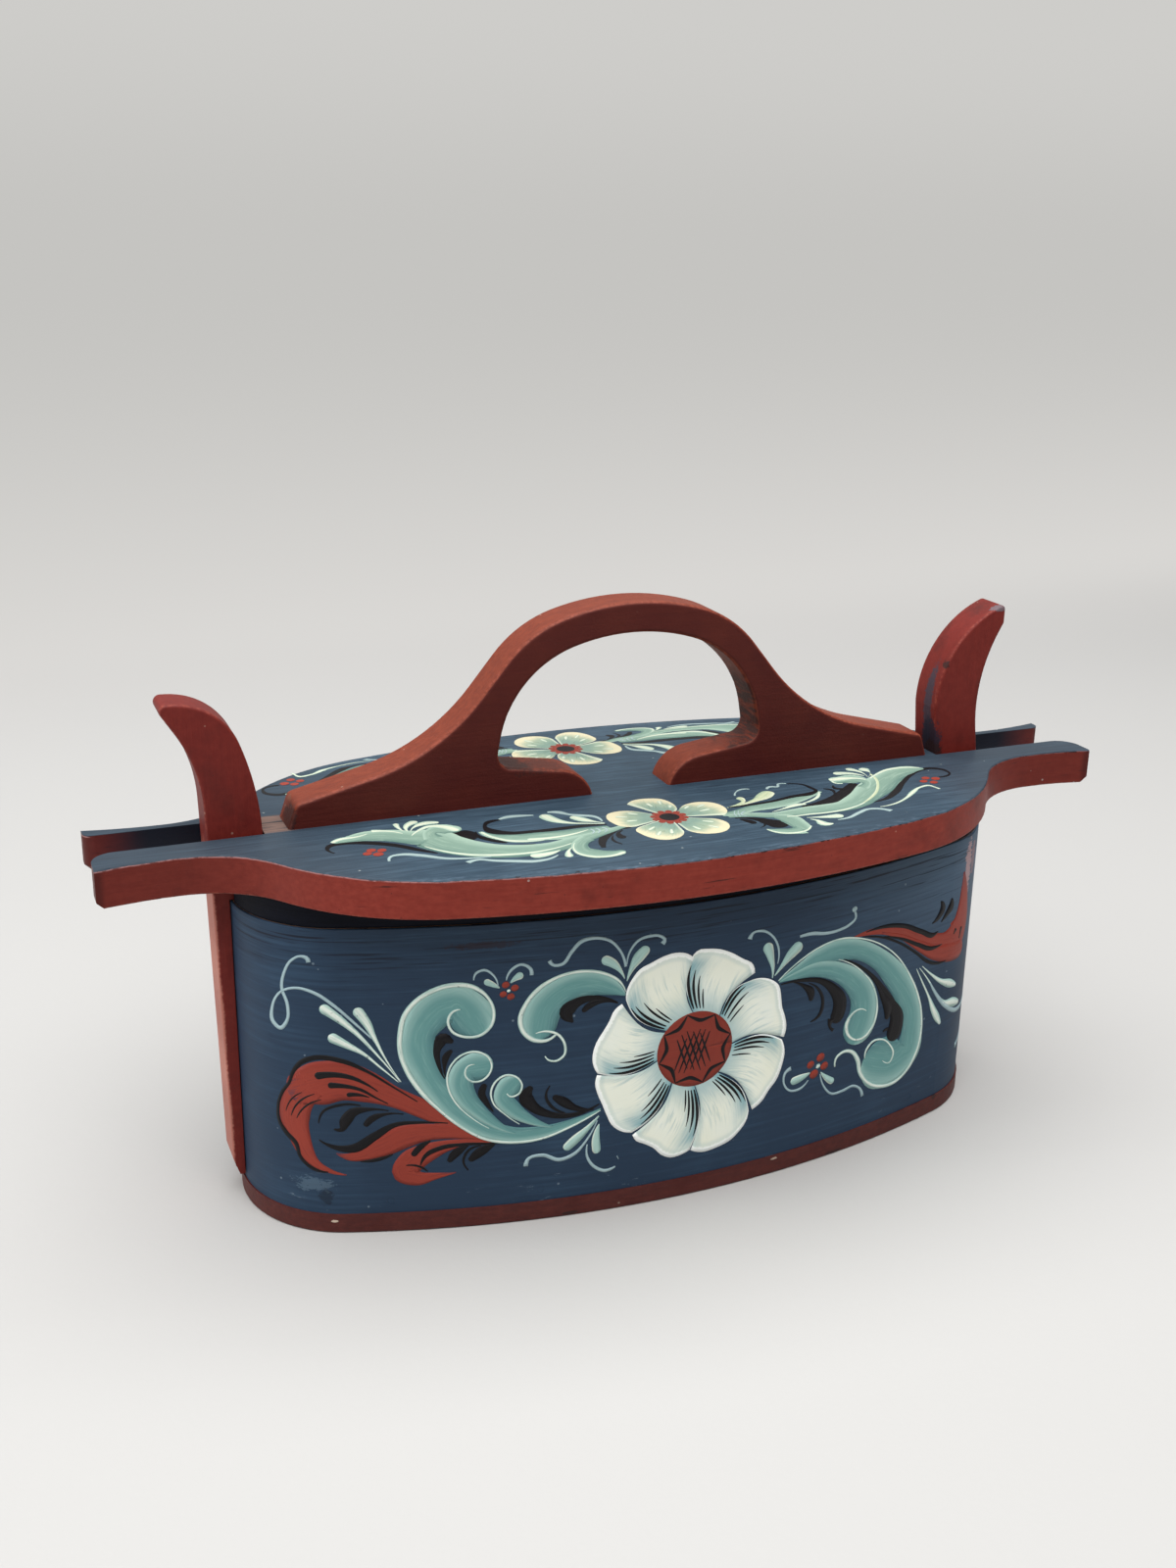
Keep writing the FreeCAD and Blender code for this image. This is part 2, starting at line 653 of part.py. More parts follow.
# ---------------------------------------------------------------- handle and its screws
def handle_pieces():
    """The sawn arch: crown, swept shoulders, feet, toes and the hand opening."""
    reach, foot, lean = handle_reach, size("handle_foot_height"), size("handle_foot_lean")
    outer = Outline(0, size("handle_height"), 0).bend(size("handle_crown_radius"), -size("handle_crown_angle"))
    outer.bend(size("handle_shoulder_radius"), -size("handle_shoulder_angle")).run(size("handle_fall"))
    outer.aim(size("handle_sweep_radius"), reach - lean, foot)
    end_turn = -math.degrees(math.atan2(foot, lean)) - outer.heading
    corner = size("handle_foot_round") * math.tan(math.radians(-end_turn / 2))
    outer.run(math.hypot(reach - lean - outer.x, foot - outer.y) - corner)
    outer.bend(size("handle_foot_round"), end_turn).to(reach, 0)
    slope = size("toe_lean_angle")
    side_angle = size("opening_crown_angle") + size("opening_corner_angle")

    def opening(fall):
        pen = Outline(0, size("opening_height"), 0)
        pen.bend(size("opening_crown_radius"), -size("opening_crown_angle"))
        pen.bend(size("opening_corner_radius"), -size("opening_corner_angle")).run(fall)
        pen.bend(size("opening_heel_radius"), slope - 180 + side_angle)
        return pen.run(size("toe_run")).bend(size("toe_round"), size("toe_angle"))

    # the straight side of the opening is as long as the toe needs to end on the lid
    inner = opening(opening(0.0).y / math.sin(math.radians(side_angle)))
    half = outer.to(inner.x, inner.y).pieces + [tuple(reversed(piece)) for piece in reversed(inner.pieces)]
    return half + mirrored(half)


def make_handle(tools):
    body = new_body("handle")
    sketch = add_sketch(body, "handle_profile", "XZ_Plane", handle_pieces(),
                        Placement(Vector(0, lid_top, -row_y), Rotation()))
    add_pad(body, sketch, "Sizes.handle_thickness", midplane=True)
    front, rear = row_y - size("handle_thickness") / 2, row_y + size("handle_thickness") / 2

    def on_face(edge):
        box = edge.BoundBox
        flat = any(abs(box.YMin - y) < 1e-4 and abs(box.YMax - y) < 1e-4 for y in (front, rear))
        return flat and box.ZMax > lid_top + 0.5
    soften(body, on_face, "Sizes.handle_softening")
    return cut("handle", body, tools)


def make_screws():
    """Four countersunk wood screws and their bores."""
    low = size("rim_height") - size("plate_plug_height")
    shank = lid_top + size("screw_grip") - low - size("screw_tip_height")
    screws, bores = [], []
    opening = size("opening_crown_radius") * math.sin(math.radians(size("opening_crown_angle"))) \
        + size("opening_corner_radius") * (1 - math.sin(math.radians(size("opening_crown_angle"))))
    places = (handle_reach - size("screw_from_foot"), opening + size("screw_from_opening"))
    for number, x in enumerate(sign * place for sign in (-1, 1) for place in places):
        start = Vector(x, row_y, low)
        for prefix, extra in (("screw", "0"), ("screw_bore", "Sizes.peg_fit")):
            head = doc.addObject("Part::Cone", f"{prefix}_head{number}")
            head.setExpression("Radius1", f"Sizes.screw_head_radius + {extra}")
            head.setExpression("Radius2", f"Sizes.screw_radius + {extra}")
            head.setExpression("Height", "Sizes.screw_head_height")
            head.Placement.Base = start
            body = peg(f"{prefix}_shank{number}", start, Vector(0, 0, 1),
                       f"Sizes.screw_radius + {extra}", f"{shank:.6f}")
            tip = doc.addObject("Part::Cone", f"{prefix}_tip{number}")
            tip.setExpression("Radius1", f"Sizes.screw_radius + {extra}")
            tip.setExpression("Radius2", f"Sizes.screw_radius / 4 + {extra}")
            tip.setExpression("Height", "Sizes.screw_tip_height")
            tip.Placement.Base = start + Vector(0, 0, shank)
            whole = doc.addObject("Part::MultiFuse", f"{prefix}{number}")
            whole.Shapes = [head, body, tip]
            if prefix == "screw_bore":
                bores.append(whole)
                continue
            slot = doc.addObject("Part::Box", f"screw_slot{number}")
            slot.setExpression("Length", "4 * Sizes.screw_head_radius")
            slot.setExpression("Width", "Sizes.screw_slot_width")
            slot.setExpression("Height", "Sizes.screw_slot_depth")
            slot.Placement.Base = start - Vector(2 * size("screw_head_radius"), size("screw_slot_width") / 2, 0)
            screws.append(cut(f"screw{number}_slotted", whole, [slot]))
    return group("handle_screws", screws), group("screw_bores", bores)


# ---------------------------------------------------------------- assembly
base_pegs, base_bores = make_base_pegs()
pegs_left, bores_left, holes_left = make_post_pegs(-1, "left")
pegs_right, bores_right, holes_right = make_post_pegs(1, "right")
lacing, lacing_bores = make_lacing()
screws, screw_bores = make_screws()
brads, brad_bores = make_brads()

nodes = [
    make_base([base_bores, bores_left, bores_right]),
    make_band([base_bores, bores_left, bores_right, lacing_bores]),
    lacing,
    base_pegs,
    pegs_left,
    pegs_right,
    make_post(horns[0], holes_left),
    make_post(horns[1], holes_right),
    make_lid([screw_bores, brad_bores]),
    make_plate([screw_bores, brad_bores]),
    make_handle([screw_bores]),
    screws,
    brads,
]
doc.recompute()

for item in doc.Objects:
    assert "Invalid" not in item.State and "Error" not in item.State, f"{item.Name}: {item.State}"
for node in nodes:
    shape = node.Shape
    assert not shape.isNull() and shape.isValid() and shape.Solids, f"{node.Label} has no valid solid"
    shape.exportStep(f"parts/{node.Label}.step")
    print(f"{node.Label}: {len(shape.Solids)} solids, {shape.Volume / 1000:.2f} cm3")
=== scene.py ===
"""Looks of a bentwood tine: a painted oval box whose lid snaps between two springy end posts.

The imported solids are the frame. This script gives them paint and wood, lays the scroll and
flower painting on band and lid as thin strokes of paint, and sets floor, light and camera.
Lengths in the classes are in millimetres; meshes are in metres.
"""
from __future__ import annotations

import logging
import math
from dataclasses import dataclass
from enum import Enum
from functools import cached_property

import bmesh
import bpy
import numpy as np
from mathutils import Matrix, Vector


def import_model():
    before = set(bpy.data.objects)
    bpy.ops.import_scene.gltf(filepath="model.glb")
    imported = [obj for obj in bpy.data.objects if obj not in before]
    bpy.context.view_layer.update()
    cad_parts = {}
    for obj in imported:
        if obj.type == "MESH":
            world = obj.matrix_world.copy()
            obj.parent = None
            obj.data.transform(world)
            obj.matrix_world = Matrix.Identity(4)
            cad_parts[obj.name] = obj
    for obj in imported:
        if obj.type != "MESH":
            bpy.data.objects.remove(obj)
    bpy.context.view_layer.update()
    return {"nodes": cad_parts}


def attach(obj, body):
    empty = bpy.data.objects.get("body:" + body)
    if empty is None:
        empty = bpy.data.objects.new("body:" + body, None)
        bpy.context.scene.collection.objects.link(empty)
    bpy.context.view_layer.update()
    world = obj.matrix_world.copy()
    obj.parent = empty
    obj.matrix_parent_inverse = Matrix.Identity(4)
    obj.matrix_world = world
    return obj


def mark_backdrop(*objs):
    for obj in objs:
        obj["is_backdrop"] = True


log = logging.getLogger("tine")

MM = 0.001
Rgb = tuple[float, float, float]
Place = tuple[float, float, float]


def rgb(red: float, green: float, blue: float) -> Rgb:
    """A colour given in 0..255 as the eye reads it, as linear light in 0..1.

    Args:
        red, green, blue: the display values.
    Returns:
        The three linear values, by ((c + 0.055) / 1.055) ** 2.4 and c / 12.92 for the darkest.
    """
    return tuple(((c / 255 + 0.055) / 1.055) ** 2.4 if c > 10 else c / 255 / 12.92
                 for c in (red, green, blue))


UNLIT: Rgb = (0.0, 0.0, 0.0)
DARK_CHIP = rgb(44, 24, 22)
PALE_CHIP = rgb(206, 188, 168)
OLD_NAVY = rgb(30, 32, 46)
GROUND_BLUE = rgb(36, 50, 70)


# ---------------------------------------------------------------- shader arithmetic
class Wire:
    """One output socket of a material; arithmetic on it adds Math nodes."""

    def __init__(self, bench: Bench, socket: bpy.types.NodeSocket) -> None:
        """Keep the socket and the bench that it belongs to."""
        self.bench, self.socket = bench, socket

    def math(self, operation: str, *values: Wire | float) -> Wire:
        """A Math node on these values; the operation's name is Blender's."""
        return self.bench.node("ShaderNodeMath", {"operation": operation}, dict(enumerate(values)))

    def __add__(self, other: Wire | float) -> Wire:
        """self + other."""
        return self.math("ADD", self, other)

    def __sub__(self, other: Wire | float) -> Wire:
        """self - other."""
        return self.math("SUBTRACT", self, other)

    def __rsub__(self, other: float) -> Wire:
        """other - self."""
        return self.math("SUBTRACT", other, self)

    def __mul__(self, other: Wire | float) -> Wire:
        """self * other."""
        return self.math("MULTIPLY", self, other)

    def __abs__(self) -> Wire:
        """The size of self without its sign."""
        return self.math("ABSOLUTE", self)

    def root(self) -> Wire:
        """The square root of self."""
        return self.math("SQRT", self)

    __radd__ = __add__

    def fade(self, start: float, end: float) -> Wire:
        """A smooth 0 to 1 as self goes from start to end, which may be the smaller.

        Args:
            start, end: where it is 0 and where it is 1.
        Returns:
            The fade.
        """
        low, high = min(start, end), max(start, end)
        to_low, to_high = (0.0, 1.0) if start < end else (1.0, 0.0)
        return self.bench.node("ShaderNodeMapRange", {"interpolation_type": "SMOOTHSTEP"},
                               {"Value": self, "From Min": low, "From Max": high,
                                "To Min": to_low, "To Max": to_high})


class Bench:
    """The node tree of one finish, with its surface shader already in place."""

    def __init__(self, name: str) -> None:
        """Make the material and its Principled shader.

        Args:
            name: the material's name.
        """
        self.material = bpy.data.materials.new(name)
        self.material.use_nodes = True
        self.tree = self.material.node_tree
        self.tree.nodes.clear()
        self.shader = self.tree.nodes.new("ShaderNodeBsdfPrincipled")
        output = self.tree.nodes.new("ShaderNodeOutputMaterial")
        self.tree.links.new(self.shader.outputs[0], output.inputs["Surface"])

    @staticmethod
    def find(sockets: bpy.types.NodeInputs, key: str | int) -> bpy.types.NodeSocket:
        """The socket with this identifier, name or number."""
        if isinstance(key, int):
            return sockets[key]
        return next((s for s in sockets if s.identifier == key), None) or sockets[key]

    def feed(self, node: bpy.types.Node, inputs: dict) -> None:
        """Link wires to a node's sockets, and set plain values on them.

        Args:
            node: the node.
            inputs: values or wires by socket.
        """
        for key, value in inputs.items():
            socket = self.find(node.inputs, key)
            if isinstance(value, Wire):
                self.tree.links.new(value.socket, socket)
            elif socket.type == "RGBA" and len(value) == 3:
                socket.default_value = (*value, 1.0)
            else:
                socket.default_value = value

    def node(self, kind: str, settings: dict | None = None, inputs: dict | None = None,
             out: str | int = 0) -> Wire:
        """Any other node.

        Args:
            kind: the node's type.
            settings: its properties.
            inputs: values or wires by socket.
            out: the output that is wanted.
        Returns:
            The wire of that output.
        """
        node = self.tree.nodes.new(kind)
        for key, value in (settings or {}).items():
            setattr(node, key, value)
        self.feed(node, inputs or {})
        return Wire(self, self.find(node.outputs, out))

    def vector(self, operation: str, *values: Wire | Place, out: str | int = 0) -> Wire:
        """A Vector Math node on these values."""
        return self.node("ShaderNodeVectorMath", {"operation": operation}, dict(enumerate(values)), out)

    def parts(self, vector: Wire) -> tuple[Wire, ...]:
        """x, y and z of a vector."""
        return tuple(self.node("ShaderNodeSeparateXYZ", None, {"Vector": vector}, axis) for axis in "XYZ")

    def attribute(self, name: str) -> tuple[Wire, ...]:
        """The three values of a point attribute."""
        return self.parts(self.node("ShaderNodeAttribute", {"attribute_name": name}, out="Vector"))

    @cached_property
    def place(self) -> Wire:
        """Object coordinates in millimetres."""
        raw = self.node("ShaderNodeTexCoord", out="Object")
        return self.node("ShaderNodeVectorMath", {"operation": "SCALE"}, {"Vector": raw, "Scale": 1 / MM})

    @cached_property
    def axes(self) -> tuple[Wire, ...]:
        """x, y and z of the place."""
        return self.parts(self.place)

    def join(self, x: Wire | float, y: Wire | float, z: Wire | float) -> Wire:
        """A vector of three values."""
        return self.node("ShaderNodeCombineXYZ", None, {"X": x, "Y": y, "Z": z})

    def drawn(self, *scales: float) -> Wire:
        """The place with x, y and z scaled: a small factor draws a pattern out along its axis."""
        return self.join(*(axis if scale == 1.0 else axis * scale for axis, scale in zip(self.axes, scales)))

    def noise(self, vector: Wire, scale: float = 1.0, detail: float = 3.0, rough: float = 0.55,
              warp: float = 0.0) -> Wire:
        """Fractal noise about 0.5 at a vector; scale is in waves for each unit.

        Args:
            vector: where.
            scale, detail, rough, warp: as in the Noise Texture node.
        Returns:
            The noise.
        """
        return self.node("ShaderNodeTexNoise", None,
                         {"Vector": vector, "Scale": scale, "Detail": detail, "Roughness": rough,
                          "Distortion": warp}, "Fac")

    def grains(self, scale: float) -> Wire:
        """Distance to the nearest of points scattered through space, in cells."""
        return self.node("ShaderNodeTexVoronoi", None, {"Vector": self.place, "Scale": scale}, "Distance")

    def blend(self, share: Wire | float, first: Wire | Rgb, second: Wire | Rgb) -> Wire:
        """first where share is 0, second where it is 1."""
        return self.node("ShaderNodeMix", {"data_type": "RGBA", "clamp_factor": True},
                         {"Factor_Float": share, "A_Color": first, "B_Color": second}, "Result_Color")

    def finish(self, colour: Wire | Rgb, roughness: Wire | float, relief: Wire, depth: float,
               **constants: float) -> bpy.types.Material:
        """Wire up the surface.

        Args:
            colour, roughness: what the surface is.
            relief: height in 0..1 for the bump.
            depth: millimetres that relief 1 stands for.
            constants: other sockets of the shader that are alike all over, with _ for a space.
        Returns:
            The finished material.
        """
        bump = self.node("ShaderNodeBump", None, {"Height": relief, "Distance": depth * MM, "Strength": 1.0})
        self.feed(self.shader, {"Base Color": colour, "Roughness": roughness, "Normal": bump})
        self.feed(self.shader, {key.replace("_", " "): value for key, value in constants.items()})
        return self.material


# ---------------------------------------------------------------- meshes from grids
def mesh_object(name: str, points: np.ndarray, faces: list,
                smooth: np.ndarray | bool = True) -> bpy.types.Object:
    """A mesh object at the origin.

    Args:
        name: the object's name.
        points: (n, 3) in metres.
        faces: lists of point numbers.
        smooth: one flag for each face, or one for all.
    Returns:
        The object, linked to the scene.
    """
    mesh = bpy.data.meshes.new(name)
    mesh.from_pydata(points.reshape(-1, 3).tolist(), [], faces)
    mesh.polygons.foreach_set("use_smooth", np.broadcast_to(smooth, len(faces)))
    mesh.update()
    item = bpy.data.objects.new(name, mesh)
    bpy.context.scene.collection.objects.link(item)
    return item


def grid_faces(rows: int, columns: int) -> np.ndarray:
    """The quads of a grid of points numbered row by row, as (n, 4)."""
    number = np.arange(rows * columns).reshape(rows, columns)
    corners = number[:-1, :-1], number[1:, :-1], number[1:, 1:], number[:-1, 1:]
    return np.stack(corners, -1).reshape(-1, 4)


def smooth_line(points: np.ndarray, step: float) -> np.ndarray:
    """Points spread along a curve through some given ones.

    Between points a and b with slopes m and n the curve is the cubic
    (2t^3-3t^2+1) a + (t^3-2t^2+t) m + (3t^2-2t^3) b + (t^3-t^2) n; a slope is the
    difference of the neighbours over their distance.

    Args:
        points: (n, k) with n of 2 or more, the first two columns being the place.
        step: the wanted spacing.
    Returns:
        (m, k) values along the curve.
    """
    span = np.maximum(walk(points[:, :2]), 1e-6)
    at = np.concatenate([[0.0], np.cumsum(span)])
    slope = np.gradient(points, at, axis=0, edge_order=2 if len(points) > 2 else 1)
    wanted = np.linspace(0.0, at[-1], max(4, int(at[-1] / step) + 2))
    piece = np.clip(np.searchsorted(at, wanted, side="right") - 1, 0, len(span) - 1)
    t = ((wanted - at[piece]) / span[piece])[:, None]
    reach = span[piece][:, None]
    return ((2 * t ** 3 - 3 * t ** 2 + 1) * points[piece] + (t ** 3 - 2 * t ** 2 + t) * reach * slope[piece]
            + (3 * t ** 2 - 2 * t ** 3) * points[piece + 1] + (t ** 3 - t ** 2) * reach * slope[piece + 1])


def walk(points: np.ndarray) -> np.ndarray:
    """The distances from each point to the next."""
    return np.linalg.norm(np.diff(points, axis=0), axis=1)


# ---------------------------------------------------------------- finishes of the wooden pieces
@dataclass(frozen=True)
class Mark:
    """A chip, scrape or worn patch: a ragged ellipsoid in another colour, in millimetres."""

    centre: Place
    reach: Place
    colour: Rgb
    strength: float = 0.9
    rag: float = 2.0

    def lay(self, bench: Bench, ragged: Wire, colour: Wire) -> Wire:
        """The colour with the mark on it; its rim wanders with the ragged noise.

        Args:
            bench: the bench of the finish.
            ragged: noise about 0.5.
            colour: what lies below.
        Returns:
            The colour with the mark.
        """
        offset = bench.vector("SUBTRACT", bench.place, self.centre)
        far = bench.vector("LENGTH", bench.vector("DIVIDE", offset, self.reach), out="Value")
        share = (far + (ragged - 0.5) * self.rag).fade(1.0, 0.82)
        return bench.blend(share * self.strength, colour, self.colour)


@dataclass(frozen=True)
class BareWood:
    """Unpainted pine where nobody looks."""

    pale: Rgb = rgb(170, 130, 88)
    dark: Rgb = rgb(118, 82, 52)

    def colour(self, bench: Bench, *stretch: float) -> Wire:
        """The wood's colour; stretch draws its grain out as in Bench.drawn.

        Args:
            bench: the bench of the finish.
            stretch: one factor for each axis.
        Returns:
            The colour.
        """
        along = bench.drawn(*stretch)
        rings = bench.noise(along, 0.35, 3.0, 0.6, 1.2)
        pores = bench.noise(along, 2.2, 2.0)
        return bench.blend((rings * 0.7 + pores * 0.3).fade(0.36, 0.66), self.pale, self.dark)


@dataclass(frozen=True)
class SideArcs:
    """The two long arcs of an outline: radius, and how far their centres lie past the middle line."""

    radius: float
    centre: float

    def depth(self, bench: Bench) -> Wire:
        """Millimetres in from the arc on the point's own side: R - |p - c|."""
        x, y, _ = bench.axes
        far_y = abs(y) + self.centre
        return self.radius - (x * x + far_y * far_y).root()


@dataclass(frozen=True)
class Oval:
    """The band's outer face, of two side arcs and two end arcs."""

    side: SideArcs = SideArcs(349.28, 294.78)
    end_radius: float = 38.0
    end_centre: float = 100.0

    def depth(self, bench: Bench) -> Wire:
        """Millimetres in from the face: that of the side arcs, or r - |p - e| at the ends.

        Args:
            bench: the bench of the finish.
        Returns:
            The depth.
        """
        x, y, _ = bench.axes
        past = abs(x) - self.end_centre
        end = self.end_radius - (past * past + y * y).root()
        at_end = (past * (self.side.centre / self.end_centre) - abs(y)).fade(-0.01, 0.01)
        return self.side.depth(bench) * (1.0 - at_end) + end * at_end


@dataclass(frozen=True)
class SlateBlue:
    """Slate-blue paint brushed along the bent band, thin where the grain stands up near the rim."""

    ground: Rgb = rgb(34, 53, 74)
    light: Rgb = rgb(51, 76, 99)
    dark: Rgb = rgb(22, 30, 44)
    scuff: Rgb = rgb(118, 134, 146)
    # the tone of a painted sheen
    painted_sheen_tone: Rgb = rgb(100, 124, 146)
    marks: tuple[Mark, ...] = ()

    def make(self) -> bpy.types.Material:
        """The finish, with strokes that run level around the box and bare wood inside it."""
        bench = Bench("slate_blue_band")
        x, _, z = bench.axes
        streak = bench.noise(bench.drawn(0.03, 0.03, 1.0), 0.9, 4.0, 0.6)
        cloud = bench.noise(bench.place, 0.035, 3.0)
        colour = bench.blend((streak * 0.75 + cloud * 0.5 - 0.25).fade(0.3, 0.85), self.ground, self.light)
        grain = bench.noise(bench.drawn(0.045, 0.045, 1.9), 0.8, 3.0, 0.5, 0.4)
        # painted sheen: the band grows lighter towards the top of its right end, front and back
        painted_sheen = x.fade(30.0, 130.0) * z.fade(46.0, 102.0)
        colour = bench.blend(painted_sheen * (streak * 0.5 + 0.2), colour, self.painted_sheen_tone)
        rim = z.fade(78.0, 106.0)
        colour = bench.blend(grain.fade(0.56, 0.68) * (rim * 0.88 + 0.12), colour, self.dark)
        colour = bench.blend(grain.fade(0.42, 0.30) * rim * 0.5, colour, self.light)
        rubbed = bench.noise(bench.drawn(0.25, 0.25, 0.9), 0.35, 5.0, 0.7)
        low = z.fade(26.0, 12.0)
        colour = bench.blend(rubbed.fade(0.63, 0.74) * low * 0.7, colour, self.scuff)
        fleck = bench.grains(0.09).fade(0.045, 0.03)
        colour = bench.blend(fleck * 0.6, colour, self.scuff)
        ragged = bench.noise(bench.drawn(0.5, 0.5, 1.0), 0.8, 5.0, 0.75)
        for mark in self.marks:
            colour = mark.lay(bench, ragged, colour)
        inside = Oval().depth(bench).fade(0.6, 1.1)
        colour = bench.blend(inside, colour, BareWood().colour(bench, 0.06, 0.06, 1.0))
        rough = 0.46 + streak * 0.16 + inside * 0.2
        return bench.finish(colour, rough, streak * 0.5 + grain * rim * 0.5, 0.12, Specular_IOR_Level=0.2)


@dataclass(frozen=True)
class OxideRed:
    """Oxide-red paint, brushed along a piece, darkened in clouds of grime, with a painted shade on the flat
    faces of some pieces, and chipped along its edges.

    A piece that stands on the row of posts and handle has two flat faces at middle -+ half in y:
    flanks darkens them with a painted shade, and edges rubs the paint beside them.
    """

    name: str
    along: str = "X"
    ground: Rgb = rgb(104, 33, 26)
    light: Rgb = rgb(122, 43, 34)
    dark: Rgb = rgb(70, 21, 17)
    pale: Rgb = rgb(164, 84, 66)
    grime: float = 0.5
    streaky: float = 0.6
    flank_shade: float = 0.0
    edges: float = 0.0
    middle: float = 4.0
    half: float = 7.5
    sawn: bool = False
    bare_core: bool = False
    marks: tuple[Mark, ...] = ()

    def streaks(self, bench: Bench) -> Wire:
        """Noise drawn out along the piece's length."""
        stretch = (0.07 if axis == self.along else 1.0 for axis in "XYZ")
        return bench.noise(bench.drawn(*stretch), 0.7, 4.0, 0.6)

    def coat(self, bench: Bench, streak: Wire) -> Wire:
        """The paint itself: strokes, clouds of wear, dark chips and pits, and pale nicks.

        Args:
            bench: the bench of the finish.
            streak: what streaks gave.
        Returns:
            The colour.
        """
        cloud = bench.noise(bench.place, 0.06, 4.0, 0.6)
        mottle = bench.noise(bench.place, 0.45, 3.0, 0.6)
        colour = bench.blend((streak * self.streaky + mottle * (1.0 - self.streaky)).fade(0.32, 0.74),
                             self.ground, self.light)
        colour = bench.blend(cloud.fade(0.52, 0.75) * self.grime, colour, self.dark)
        scrape = bench.noise(bench.place, 0.5, 5.0, 0.75)
        colour = bench.blend(scrape.fade(0.70, 0.76) * cloud.fade(0.45, 0.6) * self.grime, colour, DARK_CHIP)
        pits = bench.grains(0.33).fade(0.10, 0.06) * mottle.fade(0.50, 0.58)
        colour = bench.blend(pits * 0.6, colour, DARK_CHIP)
        nick = bench.grains(0.11).fade(0.05, 0.035)
        return bench.blend(nick * 0.25, colour, PALE_CHIP)

    def shade_flanks_rub_edges(self, bench: Bench, colour: Wire) -> Wire:
        """The colour with a painted shade on its flat faces and the edges beside them rubbed and chipped.

        Args:
            bench: the bench of the finish.
            colour: what lies below.
        Returns:
            The worn colour.
        """
        off = abs(bench.axes[1] - self.middle)
        flat = off.fade(self.half - 0.35, self.half - 0.1)
        # painted shade on the two flat faces, front and back
        shade_and_worn_dark = flat * (0.7 + bench.noise(bench.place, 0.05, 3.0) * 0.6) * self.flank_shade
        colour = bench.blend(shade_and_worn_dark, colour, self.dark)
        ragged = bench.noise(bench.place, 0.7, 5.0, 0.75)
        edge = off.fade(self.half - 1.9, self.half - 0.7) * (1.0 - flat) * self.edges
        colour = bench.blend(edge * ragged.fade(0.46, 0.62) * 0.35, colour, self.pale)
        return bench.blend(edge * ragged.fade(0.38, 0.32), colour, DARK_CHIP)

    def saw_marks(self, bench: Bench, colour: Wire) -> Wire:
        """The colour with the saw's dark chatter on the upright sides of the handle's opening.

        Args:
            bench: the bench of the finish.
            colour: what lies below.
        Returns:
            The marked colour.
        """
        x, y, z = bench.axes
        chatter = bench.noise(bench.drawn(0.1, 0.12, 1.0), 0.55, 4.0, 0.7, 0.5)
        where = abs(x).fade(33.0, 38.0) * abs(x).fade(52.5, 50.5)
        where = where * z.fade(137.0, 141.0) * z.fade(171.0, 161.0)
        where = where * abs(y - self.middle).fade(self.half - 0.1, self.half - 0.5)
        tone = bench.blend(chatter.fade(0.46, 0.60), DARK_CHIP, self.ground)
        return bench.blend(where * 0.85, colour, tone)

    def make(self) -> bpy.types.Material:
        """The finish for a piece that is red all over."""
        bench = Bench(self.name)
        streak = self.streaks(bench)
        colour = self.coat(bench, streak)
        if self.edges or self.flank_shade:
            colour = self.shade_flanks_rub_edges(bench, colour)
        if self.sawn:
            colour = self.saw_marks(bench, colour)
        ragged = bench.noise(bench.place, 0.8, 5.0, 0.75)
        for mark in self.marks:
            colour = mark.lay(bench, ragged, colour)
        if self.bare_core:
            inside = Oval().depth(bench).fade(1.7, 2.3)
            colour = bench.blend(inside, colour, BareWood().colour(bench, 0.06, 1.0, 1.0))
        return bench.finish(colour, 0.5 + streak * 0.18, streak + ragged * 0.5, 0.15, Specular_IOR_Level=0.28)


